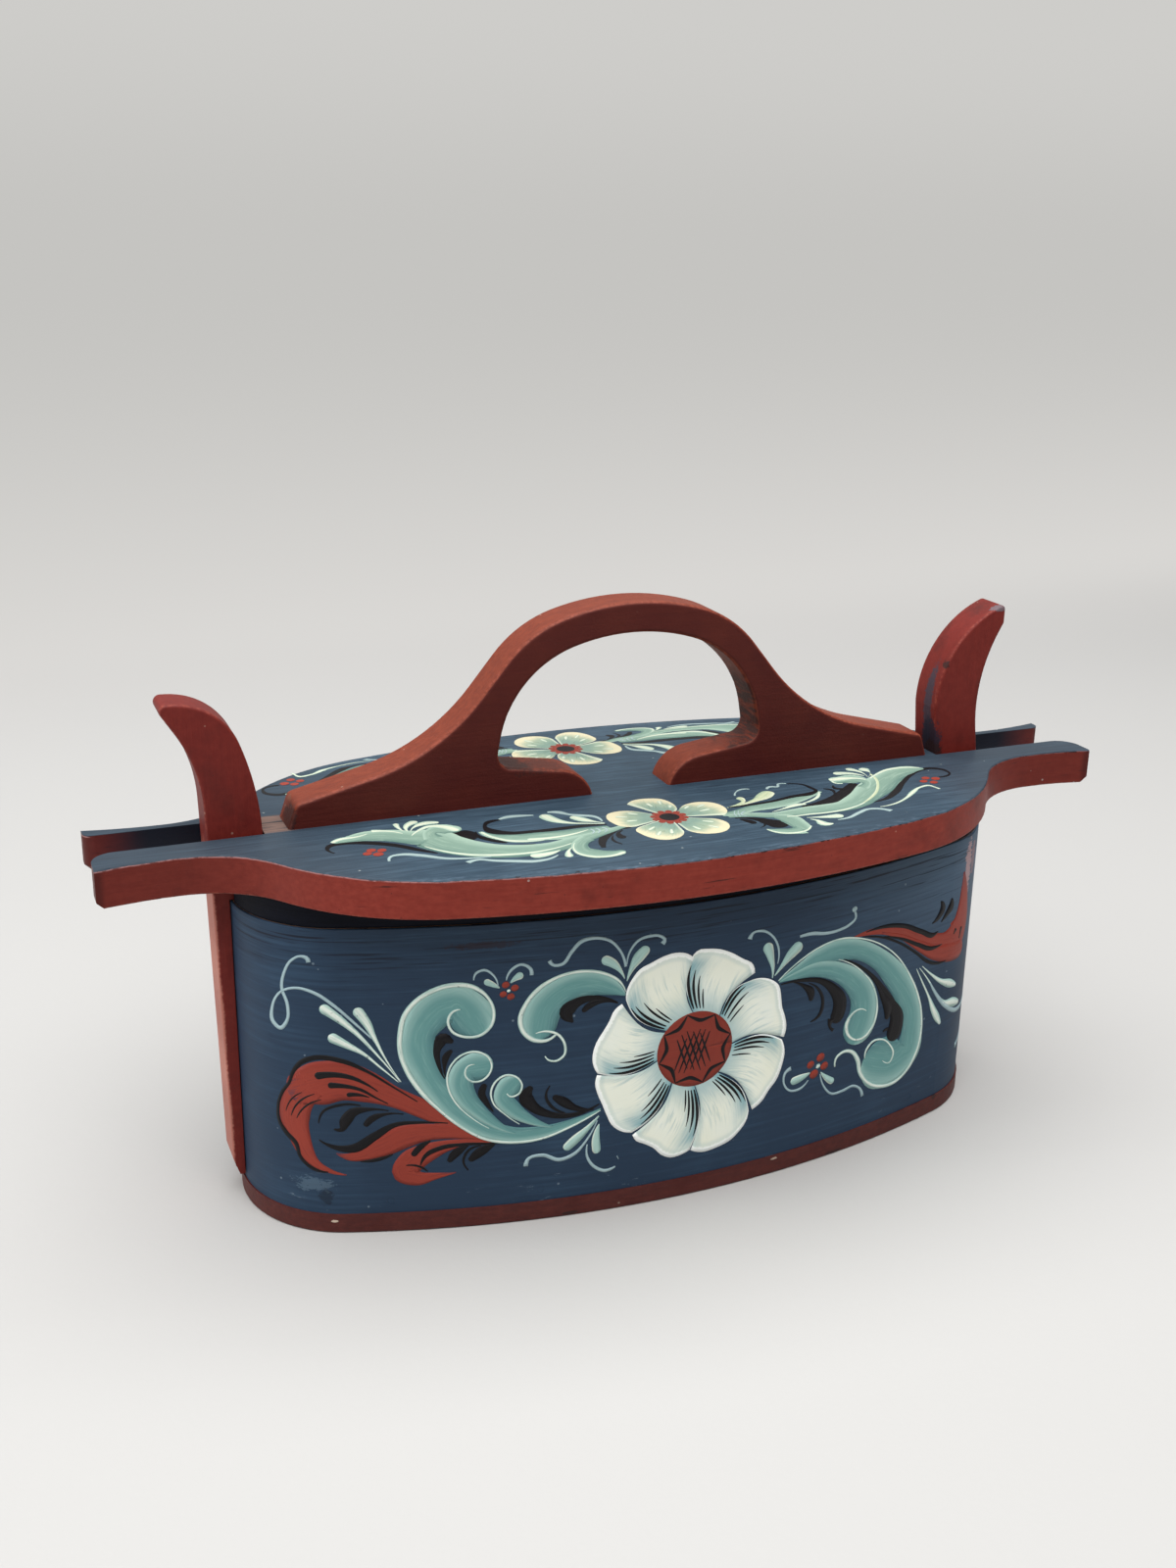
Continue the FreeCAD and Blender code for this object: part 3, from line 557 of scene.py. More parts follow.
@dataclass(frozen=True)
class LidPaint:
    """Blue top, red edge and slot walls of the lid board, worn at one slot end; the walls navy with a painted
    shade deep in the slots; bare beneath.
    """

    red: OxideRed
    top: float = 129.8
    under: float = 117.0
    sides: SideArcs = SideArcs(357.0, 286.7)
    sides_end: float = 100.0
    slot_start: float = 118.0
    slot_half: float = 8.3
    split_y: float = 5.5
    blue: Rgb = rgb(45, 63, 77)
    sheen: Rgb = rgb(79, 101, 117)
    navy: Rgb = rgb(20, 24, 36)
    # the pale of rubbed paint and a painted highlight along the top of the red edge
    rubbed: Rgb = rgb(172, 124, 122)
    scuff: Rgb = rgb(110, 128, 146)
    fleck: Rgb = rgb(190, 196, 190)
    # the dark of worn paint and painted shade at the ends of the top
    shade_and_worn_dark: Rgb = rgb(48, 50, 57)
    bare: Rgb = rgb(150, 112, 90)
    crack: Rgb = rgb(26, 18, 18)

    def board(self, bench: Bench, streak: Wire, cloud: Wire, grain: Wire) -> Wire:
        """The blue of the top: strokes, fine grain and scuffs along the side arcs' edge.

        Args:
            bench: the bench of the finish.
            streak, cloud, grain: the noises of the whole lid.
        Returns:
            The colour.
        """
        blue = bench.blend((streak * 0.7 + cloud * 0.5 - 0.2).fade(0.3, 0.8), self.blue, self.sheen)
        blue = bench.blend(grain.fade(0.64, 0.74) * 0.55, blue, self.navy)
        fine = bench.noise(bench.drawn(0.03, 2.4, 1.0), 1.0, 2.0, 0.6)
        blue = bench.blend(fine.fade(0.52, 0.72) * 0.35, blue, self.navy)
        out = abs(bench.axes[0])
        # darker and greyer towards both ends of the top, beside the handle's feet and the posts: worn paint
        # and painted shade
        blue = bench.blend(out.fade(84.0, 122.0) * (cloud * 0.9 - 0.05), blue, self.shade_and_worn_dark)
        inward, beside = self.sides.depth(bench), out.fade(self.sides_end, self.sides_end - 14.0)
        ragged = bench.noise(bench.drawn(0.35, 1.0, 1.0), 0.8, 5.0, 0.7)
        near = inward.fade(5.0, 1.0) * beside
        blue = bench.blend(near * ragged.fade(0.50, 0.66) * 0.3, blue, self.scuff)
        ticks = inward.fade(3.4, 1.2) * beside * ragged.fade(0.39, 0.34)
        return bench.blend(ticks * 0.85, blue, self.crack)

    def edge(self, bench: Bench, streak: Wire, ragged: Wire) -> Wire:
        """The red of the edge, darker towards the forks, with pores and a cracked, rubbed foot.

        Args:
            bench: the bench of the finish.
            streak, ragged: the noises of the whole lid.
        Returns:
            The colour.
        """
        x, _, z = bench.axes
        shade = abs(x).fade(100.0, 160.0) * 0.5 + abs(x).fade(176.5, 179.0) * 0.4
        red = bench.blend(shade, self.red.coat(bench, streak), self.red.dark)
        pores = bench.noise(bench.drawn(0.07, 0.07, 1.1), 0.9, 3.0, 0.6)
        red = bench.blend(pores.fade(0.65, 0.72) * 0.7, red, self.crack)
        foot = z.fade(self.under + 0.9, self.under + 0.3)
        red = bench.blend(foot * ragged.fade(0.46, 0.56) * 0.45, red, self.red.pale)
        cracks = z.fade(self.under + 1.8, self.under + 0.5) * ragged.fade(0.38, 0.32)
        return bench.blend(cracks, red, self.crack)

    def edge_line(self, bench: Bench, height: Wire, ragged: Wire, colour: Wire) -> Wire:
        """The colour with the line where the red meets the blue: rubbed paint and a painted highlight,
        stronger towards the left, and cracks.

        Args:
            bench: the bench of the finish.
            height: z, wandering a little.
            ragged: noise about 0.5.
            colour: what lies below.
        Returns:
            The colour with the line.
        """
        line = height.fade(self.top - 0.9, self.top - 0.6) * height.fade(self.top - 0.3, self.top - 0.45)
        leftward = bench.axes[0].fade(10.0, -50.0)
        # rubbed paint and a painted highlight along the top of the red edge, stronger to the left
        rubbed = line * (ragged.fade(0.40, 0.54) * 0.6 + leftward * 0.35) * (leftward * 0.5 + 0.25)
        colour = bench.blend(rubbed, colour, self.rubbed)
        return bench.blend(line * ragged.fade(0.47, 0.40) * (0.95 - leftward * 0.6), colour, self.crack)

    def slots(self, bench: Bench, cloud: Wire, red: Wire, colour: Wire) -> Wire:
        """The colour with the slots' walls: navy paint with a painted shade deep in the slot, turning red
        towards their mouths.

        Args:
            bench: the bench of the finish.
            cloud: soft noise.
            red: the colour of the edge.
            colour: what lies below.
        Returns:
            The colour with the walls.
        """
        x, y, z = bench.axes
        wall = abs(y - self.red.middle).fade(self.slot_half + 0.8, self.slot_half)
        wall = wall * abs(x).fade(self.slot_start, self.slot_start + 1.0)
        wall = wall * (1.0 - z.fade(self.top - 0.3, self.top))
        # painted shade: the walls are darkest deep in the slot and turn red towards the mouths
        mouth = (abs(x) + cloud * 10.0).fade(164.0, 186.0) * 0.85
        return bench.blend(wall, colour, bench.blend(mouth, self.navy, red))

    def slot_end(self, bench: Bench, cloud: Wire, grain: Wire, on_top: Wire, colour: Wire) -> Wire:
        """The colour with bare and split wood on the top, at the end of the left slot.

        Args:
            bench: the bench of the finish.
            cloud, grain: the noises of the whole lid.
            on_top: 1 on the top and 0 below it.
            colour: what lies below.
        Returns:
            The colour with the worn place.
        """
        x, y, _ = bench.axes
        worn_x = (x + cloud * 6.0).fade(-126.0, -123.5) * (x - cloud * 10.0).fade(-118.0, -124.0)
        worn = worn_x * abs(y - self.red.middle).fade(8.5, 7.0) * on_top
        colour = bench.blend(worn * 0.5, colour, bench.blend(grain.fade(0.45, 0.7), self.bare, self.crack))
        split = abs((y - self.split_y) + (grain - 0.5) * 6.0).fade(0.5, 0.25) * worn_x * on_top
        return bench.blend(split, colour, self.crack)

    def make(self) -> bpy.types.Material:
        """The finish, parted by height and by the row of the slots."""
        bench = Bench("lid_paint")
        z = bench.axes[2]
        streak = self.red.streaks(bench)
        cloud = bench.noise(bench.place, 0.03, 3.0)
        grain = bench.noise(bench.drawn(0.05, 1.0, 1.0), 0.8, 3.0, 0.55, 0.3)
        ragged = bench.noise(bench.drawn(0.4, 0.6, 1.0), 0.9, 5.0, 0.75)
        height = z + (bench.noise(bench.place, 0.12, 3.0) - 0.5) * 0.6
        on_top = height.fade(self.top - 0.55, self.top - 0.4)
        red = self.edge(bench, streak, ragged)
        colour = bench.blend(on_top, red, self.board(bench, streak, cloud, grain))
        colour = self.edge_line(bench, height, ragged, colour)
        colour = self.slots(bench, cloud, red, colour)
        colour = self.slot_end(bench, cloud, grain, on_top, colour)
        colour = bench.blend(bench.grains(0.1).fade(0.045, 0.03) * 0.4, colour, self.fleck)
        beneath = z.fade(self.under + 0.12, self.under + 0.04)
        colour = bench.blend(beneath, colour, BareWood().colour(bench, 0.05, 1.0, 1.0))
        relief = streak * 0.6 + grain * 0.4
        return bench.finish(colour, 0.42 + streak * 0.2, relief, 0.14, Specular_IOR_Level=0.2)


@dataclass(frozen=True)
class PlainPaint:
    """Thin dark paint brushed on where nobody looks; below bare_under the wood is left bare."""

    name: str
    ground: Rgb
    light: Rgb
    rough: float = 0.55
    metal: float = 0.0
    shine: float = 0.5
    bare_under: float | None = None

    def make(self) -> bpy.types.Material:
        """The finish: two tones in cloudy strokes."""
        bench = Bench(self.name)
        streak = bench.noise(bench.drawn(0.06, 0.06, 1.0), 1.1, 4.0, 0.6)
        speck = bench.noise(bench.place, 1.3, 4.0, 0.7)
        colour = bench.blend((streak * 0.6 + speck * 0.4).fade(0.35, 0.7), self.ground, self.light)
        if self.bare_under is not None:
            bare = (bench.axes[2] + speck * 0.8).fade(self.bare_under + 0.6, self.bare_under)
            colour = bench.blend(bare, colour, BareWood().colour(bench, 0.05, 1.0, 1.0))
        return bench.finish(colour, self.rough + speck * 0.15, speck, 0.08, Metallic=self.metal,
                            Specular_IOR_Level=self.shine)


@dataclass(frozen=True)
class SplitRoot:
    """Split root: fibres along each bar, painted over and rubbed."""

    ground: Rgb = rgb(48, 62, 80)
    fibre: Rgb = rgb(150, 118, 82)

    def make(self) -> bpy.types.Material:
        """The finish, with fibres that run up and down."""
        bench = Bench("split_root")
        fibre = bench.noise(bench.drawn(4.0, 4.0, 0.25), 0.9, 3.0, 0.6)
        rubbed = bench.noise(bench.place, 0.3, 3.0).fade(0.48, 0.6)
        colour = bench.blend(rubbed * 0.7, self.ground, bench.blend(fibre, self.fibre, self.ground))
        return bench.finish(colour, 0.6 + fibre * 0.15, fibre, 0.2)


# ---------------------------------------------------------------- floor, light and camera
@dataclass(frozen=True)
class Lamp:
    """An area light: where it hangs and what it points at in metres, its size and its watts."""

    name: str
    place: Place
    aim: Place
    size: tuple[float, float]
    power: float

    def hang(self) -> None:
        """Put the light into the scene."""
        lamp = bpy.data.lights.new(self.name, "AREA")
        lamp.shape, lamp.size, lamp.size_y, lamp.energy = "RECTANGLE", *self.size, self.power
        lamp_object = bpy.data.objects.new(self.name, lamp)
        bpy.context.scene.collection.objects.link(lamp_object)
        lamp_object.location = self.place
        ray = Vector(self.aim) - Vector(self.place)
        lamp_object.rotation_euler = ray.to_track_quat("-Z", "Y").to_euler()


@dataclass
class Studio:
    """A pale sweep of paper, a broad soft light overhead, two weak lights beside it and the camera."""

    floor_tone: Rgb = rgb(184, 183, 181)
    wall_tones: tuple[Rgb, Rgb, Rgb] = (rgb(221, 219, 216), rgb(197, 196, 193), rgb(206, 205, 202))
    sweep_radius: float = 500.0
    floor_front: float = -1500.0
    floor_back: float = 700.0
    wall_height: float = 1500.0
    half_width: float = 1800.0
    lamps: tuple[Lamp, ...] = (
        Lamp("overhead", (-0.05, -0.25, 1.7), (0.0, 0.0, 0.0), (2.6, 2.6), 80.0),
        Lamp("front", (-0.9, -1.4, 0.9), (0.0, 0.0, 0.08), (1.2, 1.0), 2.5),
        Lamp("left", (-1.7, 0.3, 0.55), (0.0, 0.0, 0.1), (1.0, 0.9), 13.0))
    room_tone: tuple[float, float, float, float] = (0.97, 0.98, 1.0, 1.0)
    room_strength: float = 0.07
    eye: Place = (-217.04, -497.98, 317.49)
    heading: float = 0.3861
    pitch: float = 0.3315
    roll: float = 0.0163
    film_height: float = 24.0
    lens: float = 25.5
    near_clip: float = 10.0

    def lay_sweep(self) -> bpy.types.Object:
        """The paper: a floor line, a quarter round and a wall, carried along x.

        The profile is (y, z) with y = back + r sin a and z = r - r cos a on the round.
        """
        turn = np.linspace(0.0, math.pi / 2, 25)
        y = np.concatenate([[self.floor_front], self.floor_back + self.sweep_radius * np.sin(turn),
                            [self.floor_back + self.sweep_radius]])
        z = np.concatenate([[0.0], self.sweep_radius * (1 - np.cos(turn)), [self.wall_height]])
        x = np.array([-self.half_width, self.half_width])
        grid = np.stack(np.broadcast_arrays(x[:, None], y[None], z[None]), axis=-1)
        sweep = mesh_object("studio_sweep", grid * MM, grid_faces(*grid.shape[:2]).tolist())
        sweep.data.materials.append(self.paper())
        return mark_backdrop(sweep)

    def paper(self) -> bpy.types.Material:
        """Pale paper with a faint tooth; past the floor it glows in a soft grey, which only the
        camera and reflections see."""
        bench = Bench("studio_paper")
        rise = bench.axes[1] * 0.5 + bench.axes[2]
        low, middle, high = self.wall_tones
        wall = bench.blend(rise.fade(250.0, 820.0), low, middle)
        wall = bench.blend(rise.fade(860.0, 1120.0), wall, high)
        far = rise.fade(230.0, 430.0)
        seen = (bench.node("ShaderNodeLightPath", out="Is Camera Ray")
                + bench.node("ShaderNodeLightPath", out="Is Glossy Ray"))
        glow = bench.blend(far * seen, UNLIT, wall)
        bench.feed(bench.shader, {"Emission Color": glow, "Emission Strength": 1.0})
        tooth = bench.noise(bench.place, 0.4, 2.0)
        floor = bench.blend(far, self.floor_tone, UNLIT)
        return bench.finish(floor, 0.9, tooth, 0.05, Specular_IOR_Level=0.0)

    def set_world(self) -> None:
        """Even, weak light from all around the room."""
        world = bpy.data.worlds.new("studio_room")
        bpy.context.scene.world = world
        world.use_nodes = True
        room = world.node_tree.nodes["Background"].inputs
        room["Color"].default_value, room["Strength"].default_value = self.room_tone, self.room_strength

    def set_camera(self) -> None:
        """The camera, from its place, heading (from +y towards +x), pitch down and roll."""
        sin, cos = math.sin, math.cos
        forward = Vector((sin(self.heading) * cos(self.pitch), cos(self.heading) * cos(self.pitch),
                          -sin(self.pitch)))
        level = Vector((cos(self.heading), -sin(self.heading), 0.0))
        upward = level.cross(forward)
        right = cos(self.roll) * level + sin(self.roll) * upward
        up = cos(self.roll) * upward - sin(self.roll) * level
        turn = Matrix((right, up, -forward)).transposed().to_4x4()
        camera = bpy.data.cameras.new("camera")
        camera.sensor_fit, camera.sensor_height, camera.lens = "VERTICAL", self.film_height, self.lens
        camera.clip_start = self.near_clip * MM
        camera_object = bpy.data.objects.new("camera", camera)
        camera_object.matrix_world = Matrix.Translation(Vector(self.eye) * MM) @ turn
        bpy.context.scene.collection.objects.link(camera_object)
        bpy.context.scene.camera = camera_object

    def build(self) -> None:
        """Set up the whole studio."""
        bpy.context.scene.view_settings.view_transform = "Standard"
        self.lay_sweep()
        for lamp in self.lamps:
            lamp.hang()
        self.set_world()
        self.set_camera()
        log.info("studio set")


# ---------------------------------------------------------------- painted ornament
class Paint(Enum):
    """The paints of the ornament."""

    TEAL = "teal"
    CREAM = "cream"
    PALE = "pale"
    LINE = "line"
    RED = "red"
    BLACK = "black"
    PETAL = "petal"
    LID_PETAL = "lid_petal"
    HEART = "heart"


@dataclass(frozen=True)
class Ground:
    """The face that a painting lies on: it turns places on the painting into places in space."""

    body: str
    slot: str
    curved: bool = True

    def lay(self, flat: np.ndarray, height: float) -> np.ndarray:
        """Places in millimetres for points (..., 2) of the painting at a height over the paint."""
        raise NotImplementedError


@dataclass(frozen=True)
class BandGround(Ground):
    """The outside of the four-centre oval; s runs around it from the middle of the front, z is height."""

    turn: float = 1.0
    half_length: float = 138.0
    half_width: float = 54.5
    end_radius: float = 38.0

    def lay(self, flat: np.ndarray, height: float) -> np.ndarray:
        """On the side arc of radius R about (0, c) the place is (R sin(s/R), c - R cos(s/R));
        past it, on the end arc of radius r, it turns on by (|s| - L) / r.

        Args:
            flat: places on the painting, (..., 2).
            height: millimetres over the face.
        Returns:
            Places in space, (..., 3).
        """
        centre = self.half_length - self.end_radius
        side = (centre ** 2 + self.half_width ** 2 - self.end_radius ** 2) / 2
        side /= self.half_width - self.end_radius
        half_turn = math.atan2(centre, side - self.half_width)
        s, z = flat[..., 0], flat[..., 1]
        past = (np.abs(s) - side * half_turn) / self.end_radius
        on_end = past > 0
        aim = np.where(on_end, half_turn + past, np.abs(s) / side)
        radius = np.where(on_end, self.end_radius, side) + height
        x = np.where(on_end, centre + radius * np.sin(aim), radius * np.sin(aim)) * np.sign(s)
        y = np.where(on_end, 0.0, side - self.half_width) - radius * np.cos(aim)
        return np.stack([x * self.turn, y * self.turn, z], -1)


@dataclass(frozen=True)
class LidGround(Ground):
    """The top of the lid; a turned one is the same painting at the far side of the handle."""

    curved: bool = False
    level: float = 129.8
    turned: bool = False
    pivot: tuple[float, float] = (-1.85, 6.95)
    blossom_x: float = -4.8
    blossom_half: float = 18.0
    squeeze_over: float = 8.0
    squeeze_from: float = 52.0

    def lay(self, flat: np.ndarray, height: float) -> np.ndarray:
        """(x, y), or its half turn 2 p - (x, y) about the pivot p, at the lid's level.

        Beside the turned blossom what lies past the line y = q comes in to q + (y - q) / 2.

        Args:
            flat: places on the painting, (..., 2).
            height: millimetres over the board.
        Returns:
            Places in space, (..., 3).
        """
        place = flat
        if self.turned:
            place = 2 * np.array(self.pivot) - flat
            off_blossom = np.abs(place[..., 0] - self.blossom_x) - self.blossom_half
            aside = np.clip(off_blossom / self.squeeze_over, 0.0, 1.0)
            over = np.maximum(place[..., 1] - self.squeeze_from, 0.0)
            place = np.stack([place[..., 0], place[..., 1] - 0.5 * over * aside], -1)
        return np.concatenate([place, np.full(flat.shape[:-1] + (1,), self.level + height)], -1)


class Tip(Enum):
    """How a stroke begins and ends: T tapers as drawn, D starts round, O ends round, B is a dot."""

    T = (False, False)
    D = (True, False)
    O = (False, True)
    B = (True, True)


@dataclass(frozen=True)
class Stroke:
    """One stroke of the brush; points holds (s, z, w): two places on the ground and half the width."""

    paint: Paint
    layer: int
    tip: Tip
    points: np.ndarray

    spacing = 0.9
    thinnest = 0.05
    column_width = 0.8
    most_columns = 9
    tightest = 0.9

    @staticmethod
    def cap(before: np.ndarray, end: np.ndarray) -> np.ndarray:
        """The points of a round tip: past an end of half width w it carries on for w sin a with
        the half width w cos a.

        Args:
            before, end: the last point but one, and the last.
        Returns:
            The points past the end.
        """
        away = end[:2] - before[:2]
        away /= np.linalg.norm(away)
        turn = np.linspace(0.0, 1.0, 8)[1:] * math.radians(88)
        return np.column_stack([end[:2] + away * end[2] * np.sin(turn)[:, None], end[2] * np.cos(turn)])

    def outline(self, mirror: bool = False) -> tuple[np.ndarray, np.ndarray, np.ndarray]:
        """The middle line, its left-hand normals and the half widths, with round tips added.

        Args:
            mirror: whether to turn the stroke over at s = 0.
        Returns:
            The line (n, 2), its normals (n, 2) and the half widths (n,).
        """
        raw = self.points * (-1.0, 1.0, 1.0) if mirror else self.points
        if len(raw) == 1:
            raw = np.concatenate([raw, raw + (0.25 * raw[0, 2], 0.1 * raw[0, 2], 0.0)])
        line = smooth_line(raw, self.spacing)
        line[:, 2] = np.maximum(line[:, 2], self.thinnest)
        round_start, round_end = self.tip.value
        if round_start:
            line = np.concatenate([self.cap(line[1], line[0])[::-1], line])
        if round_end:
            line = np.concatenate([line, self.cap(line[-2], line[-1])])
        tangent = np.gradient(line[:, :2], axis=0)
        tangent /= np.maximum(np.linalg.norm(tangent, axis=1), 1e-9)[:, None]
        return line[:, :2], np.column_stack([-tangent[:, 1], tangent[:, 0]]), line[:, 2]

    def grid(self, mirror: bool = False) -> np.ndarray:
        """The stroke as a grid (along, across, 2).

        Across, a point is c + n w v for v from -1 to 1; on the inside of a bend of radius R
        the width is held to a share of R, so that the edge doesn't fold over.

        Args:
            mirror: whether to turn the stroke over at s = 0.
        Returns:
            The grid.
        """
        centre, normal, width = self.outline(mirror)
        heading = np.unwrap(np.arctan2(normal[:, 1], normal[:, 0]))
        walked = np.concatenate([[0.0], np.cumsum(walk(centre))])
        bend = np.gradient(heading, np.maximum.accumulate(walked + np.arange(len(walked)) * 1e-6))
        room = self.tightest / np.maximum(np.abs(bend), 1e-6)
        left = np.where(bend > 0, np.minimum(width, room), width)
        right = np.where(bend < 0, np.minimum(width, room), width)
        columns = int(np.clip(width.max() / self.column_width, 2, self.most_columns))
        across = np.linspace(-1.0, 1.0, columns + 1)
        offset = np.where(across > 0, left[:, None] * across, right[:, None] * across)
        return centre[:, None] + normal[:, None] * offset[..., None]


def strokes(table: str) -> tuple[Stroke, ...]:
    """The strokes of a table.

    Args:
        table: for each stroke its paint, layer and tip, then its points as "s z w" in millimetres;
            a line that begins with a number carries on the stroke before, # begins a remark.
    Returns:
        The strokes in their order.
    """
    rows: list[list[str]] = []
    for line in table.splitlines():
        words = line.split("#")[0].split()
        if words and words[0].isalpha():
            rows.append(words)
        elif words:
            rows[-1] += words
    return tuple(Stroke(Paint(paint), int(layer), Tip[tip], np.array(values, float).reshape(-1, 3))
                 for paint, layer, tip, *values in rows)


@dataclass(frozen=True)
class Blossom:
    """A blossom of petals round a heart.

    petals holds for each one "s z" pairs along its rim, in order around the blossom.
    """

    centre: tuple[float, float]
    heart: float
    petals: tuple[str, ...]
    swirl: float = 0.0
    paint: Paint = Paint.PETAL

    spacing = 1.5
    petal_rows = 22
    heart_rings = 8
    heart_sides = 48
    overlap = 0.9

    def petal(self, pairs: str) -> np.ndarray:
        """A petal as a grid (out from the heart, across, 2).

        A point is (1 - t) b(v) + t r(v) + q sin(pi t) k, with b on the heart's circle, r on the
        rim, q square to the petal and k the swirl.

        Args:
            pairs: the petal's own entry in petals.
        Returns:
            The grid.
        """
        rim = smooth_line(np.array(pairs.split(), float).reshape(-1, 2), self.spacing)
        middle = np.array(self.centre)
        out = rim - middle
        angle = np.unwrap(np.arctan2(out[:, 1], out[:, 0]))
        share = np.linspace(angle[0], angle[-1], len(rim))
        base = middle + self.overlap * self.heart * np.column_stack([np.cos(share), np.sin(share)])
        t = np.linspace(0.0, 1.0, self.petal_rows)[:, None, None]
        mean = rim.mean(axis=0) - middle
        square = np.array([-mean[1], mean[0]]) / np.linalg.norm(mean)
        return (1 - t) * base + t * rim + np.sin(math.pi * t) * square * self.swirl

    def grids(self) -> list[np.ndarray]:
        """All the petals."""
        return [self.petal(pairs) for pairs in self.petals]

    def disc(self, radius: float) -> np.ndarray:
        """A round patch in the middle as a grid (radius, angle, 2)."""
        reach = np.linspace(0.02, 1.0, self.heart_rings)[:, None, None] * radius
        angle = np.linspace(0.0, 2 * math.pi, self.heart_sides + 1)
        return np.array(self.centre) + reach * np.stack([np.cos(angle), np.sin(angle)], -1)

    def middle(self) -> tuple[Paint, int, np.ndarray]:
        """The patch of the heart: paint, layer and grid."""
        return Paint.HEART, 3, self.disc(self.heart)

    def details(self) -> list[Stroke]:
        """The strokes on petals and heart."""
        raise NotImplementedError

    @staticmethod
    def stroke(paint: Paint, layer: int, line: np.ndarray, width: np.ndarray, tip: Tip = Tip.T) -> Stroke:
        """A stroke through points with these half widths, all to a hundredth of a millimetre.

        Args:
            paint, layer, tip: as in Stroke.
            line: (n, 2) places.
            width: (n,) half widths.
        Returns:
            The stroke.
        """
        rows = np.column_stack([line, width]).tolist()
        return Stroke(paint, layer, tip, np.array([[round(value, 2) for value in row] for row in rows]))


@dataclass(frozen=True)
class GreatBlossom(Blossom):
    """Eight petals laid like a pinwheel round a dished red heart."""

    swirl: float = 3.2

    def veins(self) -> list[Stroke]:
        """Four thin dark strokes on the shaded side of each petal, fanning from the heart."""
        found = []
        for grid in self.grids():
            columns = grid.shape[1] - 1
            for share, end, width in ((0.06, 17, 0.48), (0.15, 16, 0.42), (0.26, 13, 0.32), (0.38, 10, 0.22)):
                line = grid[2:end:2, round(share * columns)]
                rise = np.sin(np.linspace(0.1, 1.0, len(line)) * math.pi) * width + 0.08
                found.append(self.stroke(Paint.BLACK, 3, line, rise))
        return found

    def scallops(self) -> list[Stroke]:
        """Eight dark arcs bowed in from the heart's rim."""
        found = []
        bow = np.sin(np.linspace(0, math.pi, 5))
        reach = self.heart * (0.97 - 0.21 * bow)
        for number in range(8):
            turn = np.radians(45 * number + 14 + np.linspace(0.0, 45.0, 5))
            spots = np.array(self.centre) + reach[:, None] * np.column_stack([np.cos(turn), np.sin(turn)])
            found.append(self.stroke(Paint.BLACK, 4, spots, 0.16 + 0.55 * bow))
        return found

    def hatching(self) -> list[Stroke]:
        """Thin crossed lines in the middle of the heart."""
        found = []
        middle = np.array(self.centre) + (-0.8, -0.6)
        for lean in (-1.0, 1.0):
            for row in range(-2, 3):
                half = 7.7 - 0.7 * abs(row) ** 1.5
                sweep = np.array((-lean * half * 0.36, half))
                ends = middle + (row * 2.1 + 0.3 * lean, 0.3 * row) + sweep * np.array([[1.0], [0.0], [-1.0]])
                found.append(self.stroke(Paint.BLACK, 4, ends, np.array([0.16, 0.36, 0.14])))
        return found

    def details(self) -> list[Stroke]:
        """Veins, scallops and hatching."""
        return self.veins() + self.scallops() + self.hatching()


@dataclass(frozen=True)
class LidBlossom(Blossom):
    """Five cream petals round a dark eye in a ring of red dabs."""

    paint: Paint = Paint.LID_PETAL
    eye: float = 0.62
    dabs: int = 12

    def middle(self) -> tuple[Paint, int, np.ndarray]:
        """The dark eye over the ends of the petals."""
        return Paint.BLACK, 5, self.disc(self.heart * self.eye)

    def details(self) -> list[Stroke]:
        """Three pale dabs on each petal, and the ring of red dabs."""
        found = []
        for grid in self.grids():
            columns = grid.shape[1] - 1
            for share, start in ((0.28, 9), (0.5, 12), (0.72, 9)):
                line = grid[start:start + 5:2, round(share * columns)]
                found.append(self.stroke(Paint.CREAM, 4, line, np.array([0.3, 0.62, 0.75]), Tip.O))
        for number in range(self.dabs):
            turn = math.radians(360 // self.dabs * number + 9)
            out = np.array([math.cos(turn), math.sin(turn)])
            line = np.array(self.centre) + out * self.heart * np.array([[self.eye], [0.96]])
            found.append(self.stroke(Paint.HEART, 4, line, np.array([0.95, 1.2]), Tip.B))
        return found


class Bristles:
    """What a material knows of the film that it is on, from the film's two point attributes."""

    def __init__(self, bench: Bench) -> None:
        """Read span, which is (share along, share across, a number of the film's own), and brush,
        which is (millimetres along, millimetres across, 0)."""
        self.bench = bench
        self.along, self.across, self.own = bench.attribute("span")
        self.run, self.side, _ = bench.attribute("brush")

    def hairs(self, along: float, across: float, detail: float) -> Wire:
        """Noise in streaks along the film, with so many waves for each millimetre.

        Args:
            along, across: waves for each millimetre.
            detail: as in Bench.noise.
        Returns:
            The noise.
        """
        vector = self.bench.join(self.run * along, self.side * across, self.own * 37.0)
        return self.bench.noise(vector, 1.0, detail, 0.6)


